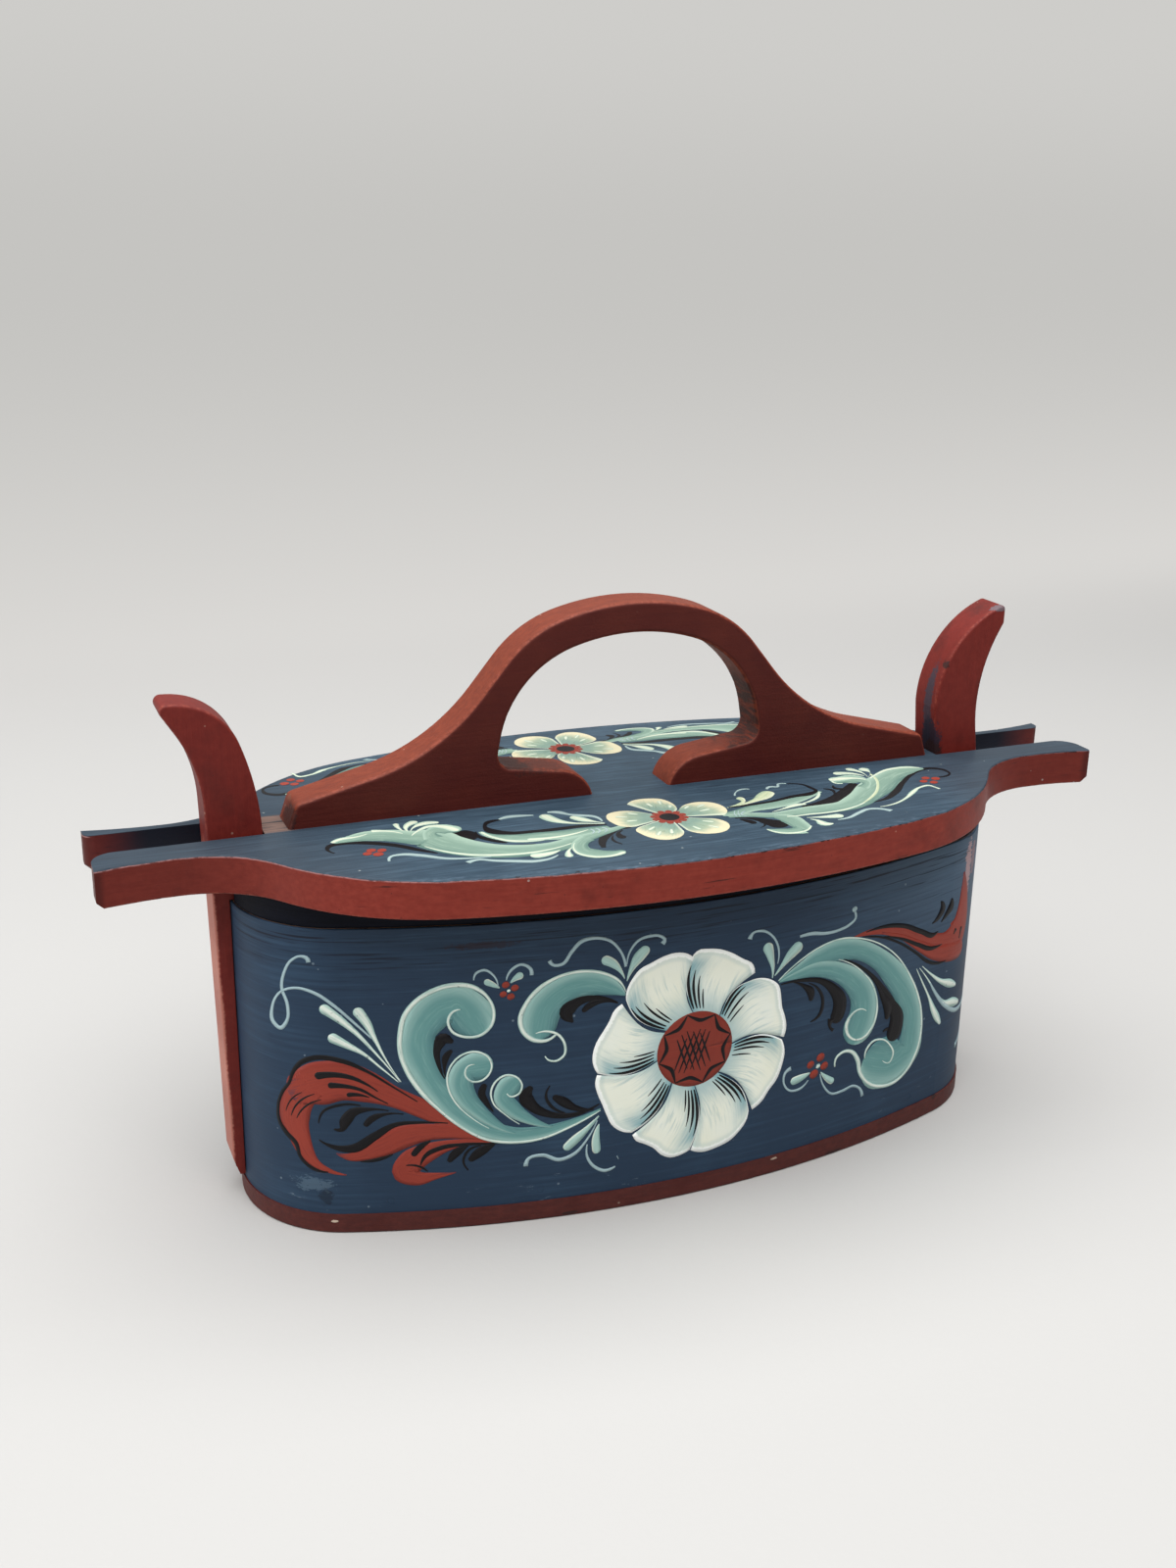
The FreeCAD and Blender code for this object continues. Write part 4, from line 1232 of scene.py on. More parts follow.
@dataclass(frozen=True)
class BrushPaint:
    """A finish for strokes: one tone at each edge and one in the body, drawn out in streaks."""

    name: str
    left: Rgb
    body: Rgb
    right: Rgb
    streak: Rgb
    edge: float
    streaky: float
    tail: Rgb | None = None
    rubbed: float = 0.72

    def make(self) -> bpy.types.Material:
        """The finish, worn through in spots; with a tail it runs dry towards the end."""
        bench = Bench(self.name)
        film = Bristles(bench)
        hairs = film.hairs(0.12, 1.6, 3.0)
        wavy = film.across + (hairs - 0.5) * 0.16
        colour = bench.blend(wavy.fade(0.0, self.edge), self.left, self.body)
        colour = bench.blend(wavy.fade(1.0 - self.edge, 1.0), colour, self.right)
        colour = bench.blend(hairs.fade(0.45, 0.75) * self.streaky, colour, self.streak)
        if self.tail is not None:
            dry = film.along + (hairs - 0.5) * 0.5
            colour = bench.blend(dry.fade(0.92, 1.08) * 0.7, colour, self.tail)
        worn = bench.noise(bench.place, 0.6, 5.0, 0.75).fade(self.rubbed, self.rubbed + 0.04)
        colour = bench.blend(worn * 0.6, colour, GROUND_BLUE)
        return bench.finish(colour, 0.42 + hairs * 0.15, hairs, 0.1, Specular_IOR_Level=0.2)


@dataclass(frozen=True)
class PetalPaint:
    """Cream petals with a teal shade swept in along one side and a bright rim."""

    name: str = "petal_paint"
    cream: Rgb = rgb(240, 247, 240)
    white: Rgb = rgb(250, 254, 250)
    teal: Rgb = rgb(122, 168, 176)
    warm: Rgb = rgb(238, 238, 214)

    def make(self) -> bpy.types.Material:
        """The finish: along runs from the heart to the rim, across from the shaded side."""
        bench = Bench(self.name)
        film = Bristles(bench)
        along, across = film.along, film.across
        hairs = film.hairs(0.10, 1.1, 4.0)
        soft = bench.noise(bench.join(film.run * 0.05, film.side * 0.05, film.own * 11.0), 1.0, 2.0)
        colour = bench.blend(soft, self.cream, self.warm)
        shade = (across + (hairs - 0.5) * 0.5 + (1.0 - along) * 0.1).fade(0.52, 0.03) * along.fade(1.02, 0.72)
        root = (along + (hairs - 0.5) * 0.6).fade(0.52, 0.0)
        drawn = hairs.fade(0.50, 0.66) * along.fade(0.92, 0.45)
        far_side = (across + (hairs - 0.5) * 0.2).fade(0.84, 1.0)
        rim = (along + (hairs - 0.5) * 0.06).fade(0.93, 0.96)
        inside = along.fade(0.86, 0.92) * (1.0 - rim)
        edge = across.fade(0.035, 0.02) * along.fade(0.25, 0.4)
        for share, tone in ((shade * 0.95, self.teal), (root * 0.65, self.teal), (drawn * 0.4, self.teal),
                            (far_side * 0.4, self.teal), (inside * 0.22, self.teal),
                            (rim, self.white), (edge * 0.85, self.white)):
            colour = bench.blend(share, colour, tone)
        return bench.finish(colour, 0.42 + hairs * 0.12, hairs, 0.12, Specular_IOR_Level=0.2)


@dataclass(frozen=True)
class LidPetalPaint:
    """Cream rims that fade to teal towards the eye, brushed thick and thin."""

    name: str = "lid_petal_paint"
    cream: Rgb = rgb(204, 196, 164)
    pale: Rgb = rgb(196, 204, 182)
    teal: Rgb = rgb(118, 142, 130)
    sage: Rgb = rgb(144, 161, 140)
    deep: Rgb = rgb(98, 118, 104)

    def make(self) -> bpy.types.Material:
        """The finish: along runs from the eye to the rim."""
        bench = Bench(self.name)
        film = Bristles(bench)
        hairs = film.hairs(0.25, 1.3, 4.0)
        off_middle = abs(film.across - 0.5)
        reach = film.along + off_middle * -0.5 + (hairs - 0.5) * 0.45
        colour = bench.blend(reach.fade(0.15, 0.5), self.teal, self.sage)
        colour = bench.blend(hairs.fade(0.52, 0.62) * film.along.fade(0.88, 0.6) * 0.55, colour, self.deep)
        colour = bench.blend(reach.fade(0.50, 0.84), colour, self.cream)
        colour = bench.blend(off_middle.fade(0.38, 0.47) * 0.8, colour, self.pale)
        return bench.finish(colour, 0.42 + hairs * 0.12, hairs, 0.15, Specular_IOR_Level=0.2)


def brush(name: str, tones: str, edge: float, streaky: float, tail: Rgb | None = None,
          rubbed: float = BrushPaint.rubbed) -> BrushPaint:
    """The finish of one brush.

    Args:
        name: its material's name.
        tones: the display values of left edge, body, right edge and streaks, with / between.
        edge, streaky, tail, rubbed: as in BrushPaint.
    Returns:
        The finish.
    """
    colours = (rgb(*map(int, tone.split())) for tone in tones.split("/"))
    return BrushPaint(name, *colours, edge, streaky, tail, rubbed)


BRUSHES = {
    Paint.TEAL: brush("teal_paint", "150 186 180 / 98 146 144 / 76 120 124 / 128 170 164", 0.4, 0.5),
    Paint.CREAM: brush("cream_paint", "154 190 184 / 224 233 222 / 160 192 184 / 136 176 170", 0.4, 0.75,
                       rubbed=0.62),
    Paint.PALE: brush("pale_leaf_paint", "150 186 182 / 168 200 192 / 214 224 210 / 120 160 158", 0.3, 0.5),
    Paint.LINE: brush("liner_paint", "140 164 172 / 160 184 188 / 140 164 172 / 112 138 150", 0.3, 0.4),
    Paint.RED: brush("red_leaf_paint", "130 48 38 / 142 56 43 / 126 46 36 / 112 44 40", 0.2, 0.45,
                     tail=GROUND_BLUE),
    Paint.BLACK: brush("black_paint", "12 10 13 / 14 12 14 / 12 10 13 / 24 25 33", 0.3, 0.4),
    Paint.PETAL: PetalPaint(),
    Paint.LID_PETAL: LidPetalPaint(),
    Paint.HEART: brush("heart_paint", "130 51 39 / 130 51 39 / 130 51 39 / 112 44 38", 0.2, 0.4),
}
LID_BRUSHES = {
    Paint.TEAL: brush("lid_teal_paint", "146 170 154 / 116 142 128 / 82 112 104 / 154 176 158", 0.4, 0.55),
    Paint.CREAM: brush("lid_cream_paint", "144 170 156 / 202 206 184 / 144 170 156 / 150 176 160", 0.4, 0.65),
    Paint.PALE: brush("lid_leaf_paint", "150 168 142 / 182 190 156 / 204 206 180 / 140 160 136", 0.4, 0.5),
    Paint.LINE: brush("lid_liner_paint", "120 142 146 / 158 176 172 / 120 142 146 / 100 124 132", 0.4, 0.5),
}


class Painting:
    """Strokes gathered into one piece for each paint, laid as closed films over one ground."""

    first_height = 0.035
    layer_height = 0.018
    stroke_height = 0.0007
    strokes_a_layer = 24
    sunk = 0.05

    def __init__(self, name: str, ground: Ground, finishes: dict[Paint, bpy.types.Material]) -> None:
        """Start an empty painting.

        Args:
            name: how its pieces' names begin.
            ground: the face it lies on.
            finishes: the material of each paint.
        """
        self.name, self.ground, self.finishes = name, ground, finishes
        self.films: dict[Paint, list] = {}
        self.laid = 0

    def add_grid(self, paint: Paint, layer: int, grid: np.ndarray) -> None:
        """Add a film over a grid (along, across, 2): its top lies above the ground by the height
        of its layer and a hair for its turn, so that no two tops share a plane, and its two edges
        and ends run down into the wood.

        Args:
            paint: what it is painted with.
            layer: how many layers lie under it.
            grid: its places on the ground.
        """
        self.laid += 1
        hair = self.stroke_height * (self.laid % self.strokes_a_layer)
        top = self.ground.lay(grid, self.first_height + self.layer_height * layer + hair)
        under = self.ground.lay(grid, -self.sunk)
        self.films.setdefault(paint, []).append((top, under, *self.measure(paint, grid)))

    @staticmethod
    def measure(paint: Paint, grid: np.ndarray) -> tuple[np.ndarray, np.ndarray]:
        """The attributes span and brush of a film's points, as Bristles tells; a teal stroke has
        its first edge on the outside of its bend.

        Args:
            paint: what it is painted with.
            grid: its places on the ground.
        Returns:
            The two attributes, each (along, across, 3).
        """
        shape = grid.shape[:2]
        middle = grid.mean(axis=1)
        along = np.concatenate([[0.0], np.cumsum(walk(middle))])[:, None]
        wide = np.linalg.norm(np.diff(grid, axis=1), axis=2)
        across = np.concatenate([np.zeros((shape[0], 1)), np.cumsum(wide, axis=1)], axis=1)
        step = np.diff(middle, axis=0)
        bend = (step[:-1, 0] * step[1:, 1] - step[:-1, 1] * step[1:, 0]).sum()
        share = np.linspace(0, 1, shape[1])[::-1 if bend < 0 and paint is Paint.TEAL else 1]
        own = (abs(grid[0, 0].sum()) * 0.137) % 1.0
        span = along / along[-1], share, own
        brushed = along, across - across[:, -1:] / 2, 0.0
        return tuple(np.stack(np.broadcast_arrays(*parts), -1) for parts in (span, brushed))

    def add(self, more: list[Stroke] | tuple[Stroke, ...], mirror: bool = False) -> None:
        """Add strokes, or their mirror images about s = 0.

        Args:
            more: the strokes.
            mirror: whether to turn them over at s = 0.
        """
        for stroke in more:
            self.add_grid(stroke.paint, stroke.layer, stroke.grid(mirror))

    def add_blossom(self, blossom: Blossom) -> None:
        """Add a blossom with its heart and the strokes on it."""
        for grid in blossom.grids():
            self.add_grid(blossom.paint, 2, grid)
        self.add_grid(*blossom.middle())
        self.add(blossom.details())

    @staticmethod
    def film_faces(rows: int, columns: int, start: int) -> tuple[np.ndarray, int]:
        """Quads of one film whose points are numbered from start, and how many of them are its top.

        The under side is a second grid of the same shape, and four walls join the two.

        Args:
            rows, columns: the size of the film's grid.
            start: the number of its first point.
        Returns:
            The quads, those of the top first, and the count.
        """
        number = start + np.arange(rows * columns).reshape(rows, columns)
        rim = np.concatenate([number[:, 0], number[-1, 1:], number[-2::-1, -1], number[0, -2:0:-1]])
        onward = np.roll(rim, -1)
        walls = np.stack([rim, rim + rows * columns, onward + rows * columns, onward], -1)
        top = grid_faces(rows, columns) + start
        return np.concatenate([top, top[:, ::-1] + rows * columns, walls]), len(top)

    def piece(self, paint: Paint, films: list) -> bpy.types.Object:
        """The object of one paint, which rides on the ground's body.

        Args:
            paint: the paint.
            films: its films, as add_grid made them.
        Returns:
            The object.
        """
        points, faces, smooth, spans, brushes, count = [], [], [], [], [], 0
        for top, under, span, brushed in films:
            more, tops = self.film_faces(*top.shape[:2], count)
            faces.append(more)
            smooth.append((np.arange(len(more)) < tops) & self.ground.curved)
            points += [top.reshape(-1, 3), under.reshape(-1, 3)]
            spans += [span.reshape(-1, 3)] * 2
            brushes += [brushed.reshape(-1, 3)] * 2
            count += 2 * top[..., 0].size
        item = mesh_object(f"{self.name}_{paint.value}", np.concatenate(points) * MM,
                           np.concatenate(faces).tolist(), np.concatenate(smooth))
        for label, values in (("span", spans), ("brush", brushes)):
            layer = item.data.attributes.new(label, "FLOAT_VECTOR", "POINT")
            layer.data.foreach_set("vector", np.concatenate(values).astype(np.float32).ravel())
        outwards(item)
        item.data.materials.append(self.finishes[paint])
        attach(item, self.ground.body)
        return item

    def build(self) -> list[bpy.types.Object]:
        """Make one object for each paint."""
        pieces = [self.piece(paint, films) for paint, films in self.films.items()]
        log.info("%s: %d pieces, %d films", self.name, len(pieces), self.laid)
        return pieces


def outwards(item: bpy.types.Object) -> None:
    """Turn the faces of closed shells so that they all look out.

    Args:
        item: the object.
    """
    mesh = bmesh.new()
    mesh.from_mesh(item.data)
    bmesh.ops.recalc_face_normals(mesh, faces=mesh.faces)
    mesh.to_mesh(item.data)
    mesh.free()


# ---------------------------------------------------------------- the ornament of the band
BAND_STROKES = strokes("""
# red leaf, lower left
red 0 O -61.4 30.4 .28 -69.7 33.6 1.22 -77.1 37.9 2.14 -86.9 44 3.22 -98.1 49.9 3.78 -106 53.6 5.66
  -114 55.8 7.02 -122.2 54.3 7.48 -126.5 52.4 5.96
red 0 T -123.9 54.1 5.23 -128.5 47.9 5.38 -130.2 41.1 5.44 -128.7 34.9 4.1 -126.6 29.7 3.07 -123.3 25.5 1.66
  -118.3 22.9 .77 -113.3 21.6 .19
red 0 T -61.4 30.4 .27 -69.7 33.1 1.11 -78.8 35.7 2.36 -87 36.3 3.1 -95.2 34.9 4.26 -101.8 31.7 3.79
  -107.5 29.1 2.41 -112.4 28.3 1.28 -116.3 29.7 .18
red 0 T -62.2 30.3 .29 -72.2 31.7 .91 -80.5 31 2.02 -87.1 28.8 3.47 -92.5 25.6 4.4 -94.8 22 3.87
  -90.6 19.5 2.71 -84.8 19.9 1.28 -78 20.8 .2
black 1 T -90.1 47.6 .18 -98 53.5 .34 -105.9 59.2 .52 -113.7 63 .83 -121 64 .84 -126.6 61.7 .84
  -130.1 56.9 .64 -131.2 53.8 .55 -134.1 49.5 .59 -136.1 44.2 .59 -136 38.6 .7 -133.4 34.9 .92 -130 32 .85
  -128.4 27 .63 -123.8 23.3 .61 -119.2 22.6 .2
black 1 D -121.1 57.5 1.28 -116.3 58.1 1.01 -110.7 57 .76 -106 54.5 .43 -102.5 51.8 .17
black 1 D -117.1 54.3 1.1 -112.4 53.9 .74 -107.7 52.5 .54 -103.7 49.9 .35 -99.4 47.3 .18
black 1 D -111.6 50.9 .82 -108.5 50.8 .55 -105.2 49.7 .17
black 1 T -127 50.8 .12 -130.8 47.6 .25 -133.1 42.8 .12
black 1 T -122.7 50.8 .12 -127.8 47.5 .33 -131.2 41.6 .12
black 1 T -120.5 49 .12 -125.4 46.4 .33 -129.2 41.1 .12
black 1 T -108.1 46.9 .18 -114.9 47.2 .46 -120.2 44.6 .41 -121.7 40.4 .16
black 1 T -99.3 44.7 .2 -105.4 45.5 .64 -110.7 44.4 1.62 -113 41.5 1.89 -114.5 38.3 .8 -116.8 38.5 .28
black 1 D -106.4 40.2 .99 -104.7 42 1.17 -100.7 43.5 .55 -94.6 43.3 .18
black 1 T -80.4 39.2 .18 -89.4 40 .45 -97.5 39.5 .85 -104.1 35.5 1.48 -110.7 31.4 1.58 -116.4 31.8 .85
  -121.8 34.3 .2
black 1 T -98.2 28.9 .18 -103.5 27 .64 -108.7 26.6 .18
black 1 D -91.4 28.7 1.04 -89.4 31 1.07 -86.2 33.1 .28
black 1 T -89.5 24.2 .17 -87.6 27.9 .74 -83 30.2 .85 -76.4 31 .59 -67.3 30.6 .36 -60.1 30.2 .12
black 1 T -94.1 24.5 .18 -90.5 24.1 .38 -87.2 21.8 .17
black 0 D -79.9 25.6 .95 -77.9 28.1 1.49 -73.9 30.4 .19
black 0 D -72.9 25.4 1.07 -70.4 27.5 1.72 -65.2 30.2 .2
black 0 T -74 21.3 .24 -75.6 24.9 .39 -74.1 28.4 .46 -69.8 30.1 .19
# left scrolls
teal 1 D -72.6 77 7.16 -77.3 81.4 6.37 -82.6 80.6 6.57 -86.7 76.6 6.22 -89.1 71.9 5.31 -89.6 66.5 5.64
  -87 58.3 4.55 -82.7 50.5 4.15 -76.4 42.4 3.85 -68.2 36.3 3.41 -59.6 33.2 2.72 -49.6 33 2.16 -40 35.1 1.25
  -30 38.8 .21
teal 2 D -71 58.9 5.3 -74.3 57.8 4.53 -76.2 53.3 4.23 -74.6 48.2 3.55 -70.5 42.8 2.63 -65.6 38.1 1.69
  -58.5 33.4 .18
teal 3 D -60.6 50.5 4.03 -62.4 47.2 3.28 -59.3 42.4 2.8 -53.9 38 1.67 -46.2 34.4 .18
cream 3 T -76.1 79.5 .21 -78.5 78.8 .42 -80 75.9 .47 -78.8 72 .46 -74.4 69.7 .48 -69.5 70.1 .51 -66.3 73.2 .54
  -65.5 78.2 .51 -67.7 83.5 .53 -72.5 87.2 .79 -78.2 88 .85 -84.6 86.4 .88 -90.2 82.8 .83 -93.6 78.2 .84
  -95 72.2 .87 -95.2 65.9 .79 -93.1 58.6 .81 -89 51.2 .78 -83.1 44.1 .53 -76.3 37.6 .5 -68.1 32.2 .52
  -59.6 30.2 .54 -49.6 30.5 .45 -40 33.6 .4 -30 38.2 .16
cream 4 T -71.7 59.8 .14 -74 59.2 .26 -74.8 56.5 .34 -73.2 54 .33 -70 53.6 .37 -67.2 55.7 .35 -66.2 58.9 .34
  -67.8 62.5 .33 -71.4 64.3 .36 -75.6 63.5 .35 -79 60.3 .33 -80.5 56 .32 -80.1 51.4 .33 -77.7 46.1 .27
  -72.8 40.5 .2 -67.2 36.2 .14
cream 5 T -61.4 48.4 .13 -60.2 47.1 .29 -57.4 47.9 .37 -56.4 50.8 .31 -58.1 53.9 .34 -61.6 55 .37
  -64.9 53.1 .35 -66.5 49.4 .34 -65.7 45.1 .27 -62.2 41 .2 -57.2 36.7 .14
black 2 D -79.2 68.6 .86 -81.5 69.5 2.09 -83.5 66.2 1.3 -83.2 60.8 .72 -81.2 55.2 .17
black 2 D -79.3 64.9 .66 -80.8 63.1 1.13 -81.3 59.7 .55 -81.1 55.9 .16
black 3 D -68.8 51.6 1.01 -69.5 49.3 1.19 -67.9 45.6 .84 -65.7 42.1 .17
black 4 D -53.9 49.2 1.12 -55.1 46.8 2.28 -52.7 42.6 1.82 -47.9 39.4 1.2 -39.4 37.9 .79 -30.4 40.7 .2
black 4 D -45.3 45 1.04 -42.9 43.4 1.64 -38.7 40.4 1.03 -32.4 38.9 .19
black 4 T -47.2 49.6 .18 -48.5 46.2 .42 -46.8 42.2 .52 -42 39 .17
# upper scroll beside the blossom
teal 1 D -50.7 72.5 5.84 -49.4 76.9 5.97 -45.8 81.3 5.3 -40 84.3 4.72 -32.4 84.3 4.03 -26.3 81.9 2.53
  -22.3 79 .34
cream 3 T -45 68.3 .32 -48 66.2 .53 -52.5 66.7 .79 -56 70 .85 -57 74.6 .86 -55 79.9 .77 -50.9 84.7 .79
  -45 88 .58 -37.5 89.2 .58 -29.9 87.7 .55 -24.1 83.8 .4 -22.2 80.2 .13
cream 3 T -52 69 .15 -48 69.3 .43 -44.6 67.7 .46 -42.4 63.9 .45 -42.5 60.3 .42 -45.1 58.4 .38 -47.9 59.1 .29
  -48.9 60.5 .19
black 2 D -40.1 72 .55 -41.9 75.3 2.52 -38.5 78.5 1.67 -32.3 79.4 .81 -24.7 76.6 .18
black 2 D -36.1 75.5 .84 -34 77.1 1.16 -30 77.9 .63 -24.8 76.4 .17
# white drops and loop, left
cream 1 D -118.2 80.9 1.77 -113.9 77.6 1.32 -108.7 72.6 .78 -103.3 66 .42 -95.4 55 .14
cream 1 D -107.8 79.8 1.74 -105.4 76.1 1.42 -103 70.5 .73 -100.2 64.1 .34 -95.1 55 .13
cream 1 D -115.9 70.9 1.74 -111.8 68.5 1.22 -106.5 65.2 .57 -101.7 60.6 .35 -95.9 54.9 .13
line 1 T -122.8 96.7 .77 -123.2 98 .75 -125.4 98.5 .41 -128.2 97 .42 -131.3 92 .49 -132.4 86.5 .59
  -130.7 81.5 .61 -131 75.6 .57 -133.9 72.3 .7 -136.6 74.1 .83 -136.5 79.1 .55 -132.8 85.2 .39 -126.7 87.5 .45
  -120.9 86.2 .56 -115.5 82.4 .53 -110.1 77.1 .44 -104 70.7 .25
# little flower, top
red 1 B -61.8 86.9 1.09
red 1 B -58.9 85.6 1.1
red 1 B -60.2 82.7 1.1
red 1 B -62.6 83.7 1.01
cream 2 B -60.8 84.8 .5
pale 1 D -67.5 88.3 1.09 -65.7 87.3 .84 -63.6 86 .17
pale 1 D -57.3 89.7 1.27 -58.9 88.7 .76 -60.2 87.5 .18
line 1 T -64.1 86.6 .16 -65.3 90.2 .31 -68.5 92.6 .43 -71 91.7 .41 -71.8 89.3 .16
line 1 T -53.4 89.6 .62 -53.6 91.5 .58 -56.8 93.6 .45 -60.1 91.7 .44 -61.5 88.5 .17
# squiggles and drops over the upper scroll
line 1 T -47.7 94 .7 -46.4 92.4 .52 -43.4 92.5 .56 -40.5 96.4 .61 -37.2 99.7 .67 -32.7 100.3 .54
  -28.1 98.9 .49 -24.2 94.5 .41 -22.4 89.1 .48
# leaves under the blossom, left
pale 1 D -41 26.3 1.56 -38.6 28.4 1.65 -34.8 31.7 1.01 -30.5 36.2 .19
pale 1 D -31.1 23.6 1.44 -31.4 27.3 1.38 -30.4 33.1 .18
line 1 T -55.1 20.7 .83 -54.3 23.3 .6 -49.7 24.2 .63 -43.7 21.7 .68 -38.7 23.2 .62 -34.4 28 .38 -31 34.7 .19
line 1 T -23.7 19.3 .76
line 1 T -24.4 16.1 .31 -27.8 15.1 .58 -31.9 17.4 .52 -34.3 21.6 .42 -34.3 26.1 .17
pale 1 D -29 92.1 1.66 -26.7 90.7 1.45 -24.3 88 .69 -22.7 84.9 .12
pale 1 D -16.1 93.8 1.77 -18.1 91.7 1.91 -20.3 88.2 .96 -21.9 83.9 .14
line 1 T -10 95.4 .89 -9.2 96.7 .62 -11 98.3 .48 -14.4 98.7 .51 -18.1 97.8 .45 -20.9 94.6 .37 -22 89.8 .14
pale 1 D 29.2 87.3 1.95 30.4 83.8 1.34 31.5 79.4 .6 31.5 75.9 .17
pale 1 D 41 85.2 2.09 38.5 83.2 1.82 35.5 80 .88 32.4 76.6 .18
line 1 T 21.8 91.9 .94 22.9 93.8 .48 26.6 94 .47 30.9 91.1 .4 33.3 86.5 .37 33.3 80.8 .17
# right scrolls
teal 1 D 83.4 30.2 10.17 91.7 29.4 8.65 96.6 32.3 7.38 97.8 37.8 5.68 97.1 45.9 5.04 92.5 55.7 5.1
  86 64.4 4.81 77.9 72.4 3.84 67.8 78.4 3.7 58.9 80.3 4.23 50.5 79.5 3.58 42.5 77.1 1.93 34.1 74.2 .16
teal 2 D 70.8 48.7 7.44 72.3 54.4 6.54 71.2 60.8 5.66 66.1 67.2 4.4 58.7 72.4 3.49 50 75.1 2.74 41.8 74.9 1.55
  34.4 73.7 .15
cream 3 T 83.6 31 .12 87.7 29.4 .38 89 32.1 .46 86.7 36.6 .35 82.5 39.9 .34 77.8 40.2 .46 74.9 37.3 .43
  74.6 34.6 .16
cream 3 T 60.7 35.2 .3 61.1 38.5 .48 64.4 40.1 .56 68.2 39 .72 71.2 35.1 .94 72.8 29.6 .87 77.3 23.9 .7
  83.8 20.6 .71 91.5 20.2 .66 98 23.7 .67 101.8 29.4 .7 103.3 36.9 .56 102.5 44.6 .48 99.3 53.5 .45
  94.2 62.1 .38 87.2 70.9 .28 78.7 77.7 .28 69.2 82.3 .28 60.2 84.4 .31 51 83.5 .31 42.3 80 .28 34 74.4 .14
cream 4 T 73.7 53.6 .16 70.3 55.1 .33 66.9 54 .55 64.7 50.7 .87 65.4 47 .67 68.9 43.6 .44 73.2 43.2 .53
  76.9 46 .61 78.8 51.6 .5 78.2 57.6 .34 75.3 63.8 .3 70.4 69.4 .28 64.6 74 .21 59 76.8 .12
black 3 D 88.6 41.2 3.76 89.3 45.9 3.47 85.7 53.5 1.67 80.6 60.6 1.11 74.2 67.6 .67 67.4 73 .43 61.3 76.4 .13
black 4 D 84.3 48.5 1.22 84.4 51.1 1.92 80.9 57.5 1.02 77.5 63 .37 74.9 65.9 .14
black 3 T 82.7 42.9 .28 84.9 43.3 .65 87.4 41.3 .98
black 3 D 60.2 55.3 3.01 60.9 60.3 2.88 57.5 66 1.87 52 70.3 1.01 43.6 72.5 .58 35.1 72.7 .15
black 3 T 57.5 54.5 1.55 57 52.4 .68 58.8 49.9 .64
black 3 D 48.1 64.7 .99 47.9 66.9 1.55 44.9 70 .75 40.4 72.4 .14
black 3 T 46.8 70.7 .13 51.1 67.4 .49 53.3 62.1 .66 52.1 57.5 .67 48.4 55.7 .17
# red leaf round the right end
red 0 T 64.5 83.5 .16 74.5 83.7 1.24 84.1 81.7 1.74 94.5 77.4 2.29 104.4 72.5 3.09 112.5 69.5 4.72
  118.4 70.1 7.28 122 74.3 6.38 123 81 4.12 122.5 88.1 2.39 121.2 94.7 .46
red 0 D 122.4 64 3.57 114.2 65.1 3.55 107.3 67.1 2.81 99.3 71.6 2.08 88.4 78.2 .97 78.4 82.1 .41
black 1 T 70.8 84.3 .16 80.1 84.3 .69 89.9 82 .87 98.5 77.7 .94 106.3 74.6 .67 108 75.2 .2
black 1 T 79.5 80.6 .14 88.5 77.5 .49 97 73.1 .76 104.8 69.5 .82 110.9 69.5 .17
black 1 T 69.2 82.9 .14 78.6 80.5 .41 88.7 75.5 .46 97.5 69.3 .51 103.3 64.8 .65 109 62.4 .52 114.2 62 .17
black 1 T 118.9 73.3 .79 117.4 71.5 .3
black 1 T 123 72.7 .8 121.9 68.4 .37
black 0 T 108.2 86.9 .29 109.5 83.7 1.47 107.7 81.1 1.15 104.2 79.3 .21
black 0 T 114.2 86.5 .34 114.2 83.2 1.65 112.1 81 1.11 109.3 78.5 .24
# drops, right
cream 1 D 122 49.8 .79 118.2 51.6 1.65 112.3 54.3 .95 106.4 58.7 .47 100.9 63.5 .12
cream 1 D 126.6 40.9 .96 121.4 42.8 1.93 115.2 44.8 .97 110.2 49.7 .52 105.2 56.5 .32 99.5 63.1 .12
cream 1 D 113.7 37.1 .77 112 39.6 1.41 109.5 43.4 1.32 106 49.9 .54 101.7 56.9 .34 97.8 63.3 .13
line 1 T 106 55.6 .3 110.4 49.4 .7 116.2 43.2 .85 125.2 38.2 .9 137 38.8 .9 145.5 46.5 .8 148.5 62 .4
line 1 T 148.5 56 .4 149 44 .75 145 32 .8 136 24 .85 128.6 21.6 1.1
# little flower, right
red 1 B 53.8 40.6 1.53
red 1 B 49.6 38.8 1.36
red 1 B 55.7 36.8 1.44
red 1 B 51.3 34.7 1.62
cream 2 B 53 37.4 .81
pale 1 D 43.1 34.3 1.53 46.1 34.8 1.31 49.7 35.7 .18
pale 1 D 59.5 30 1.29 57.1 31.9 .99 54.6 34.7 .14
line 1 T 41.4 39.6 .83 39.1 38.4 .56 38.6 35 .38 41.5 30.9 .41 45.9 30.6 .45 49.1 33 .19
line 1 T 54.3 34 .15 56.3 28.7 .37 60.1 24.7 .43 65.3 24.4 .52 69.7 25 .48 73.4 22.8 .5 74.9 19.4 .72
line 1 T 41.8 89 .45 46.6 89.1 .66 52.5 88 .58 58.2 87.9 .54 62.5 88.8 .54 65.4 90.8 .49 64.9 93.4 .49
line 1 B 64.6 94.2 .99
""")
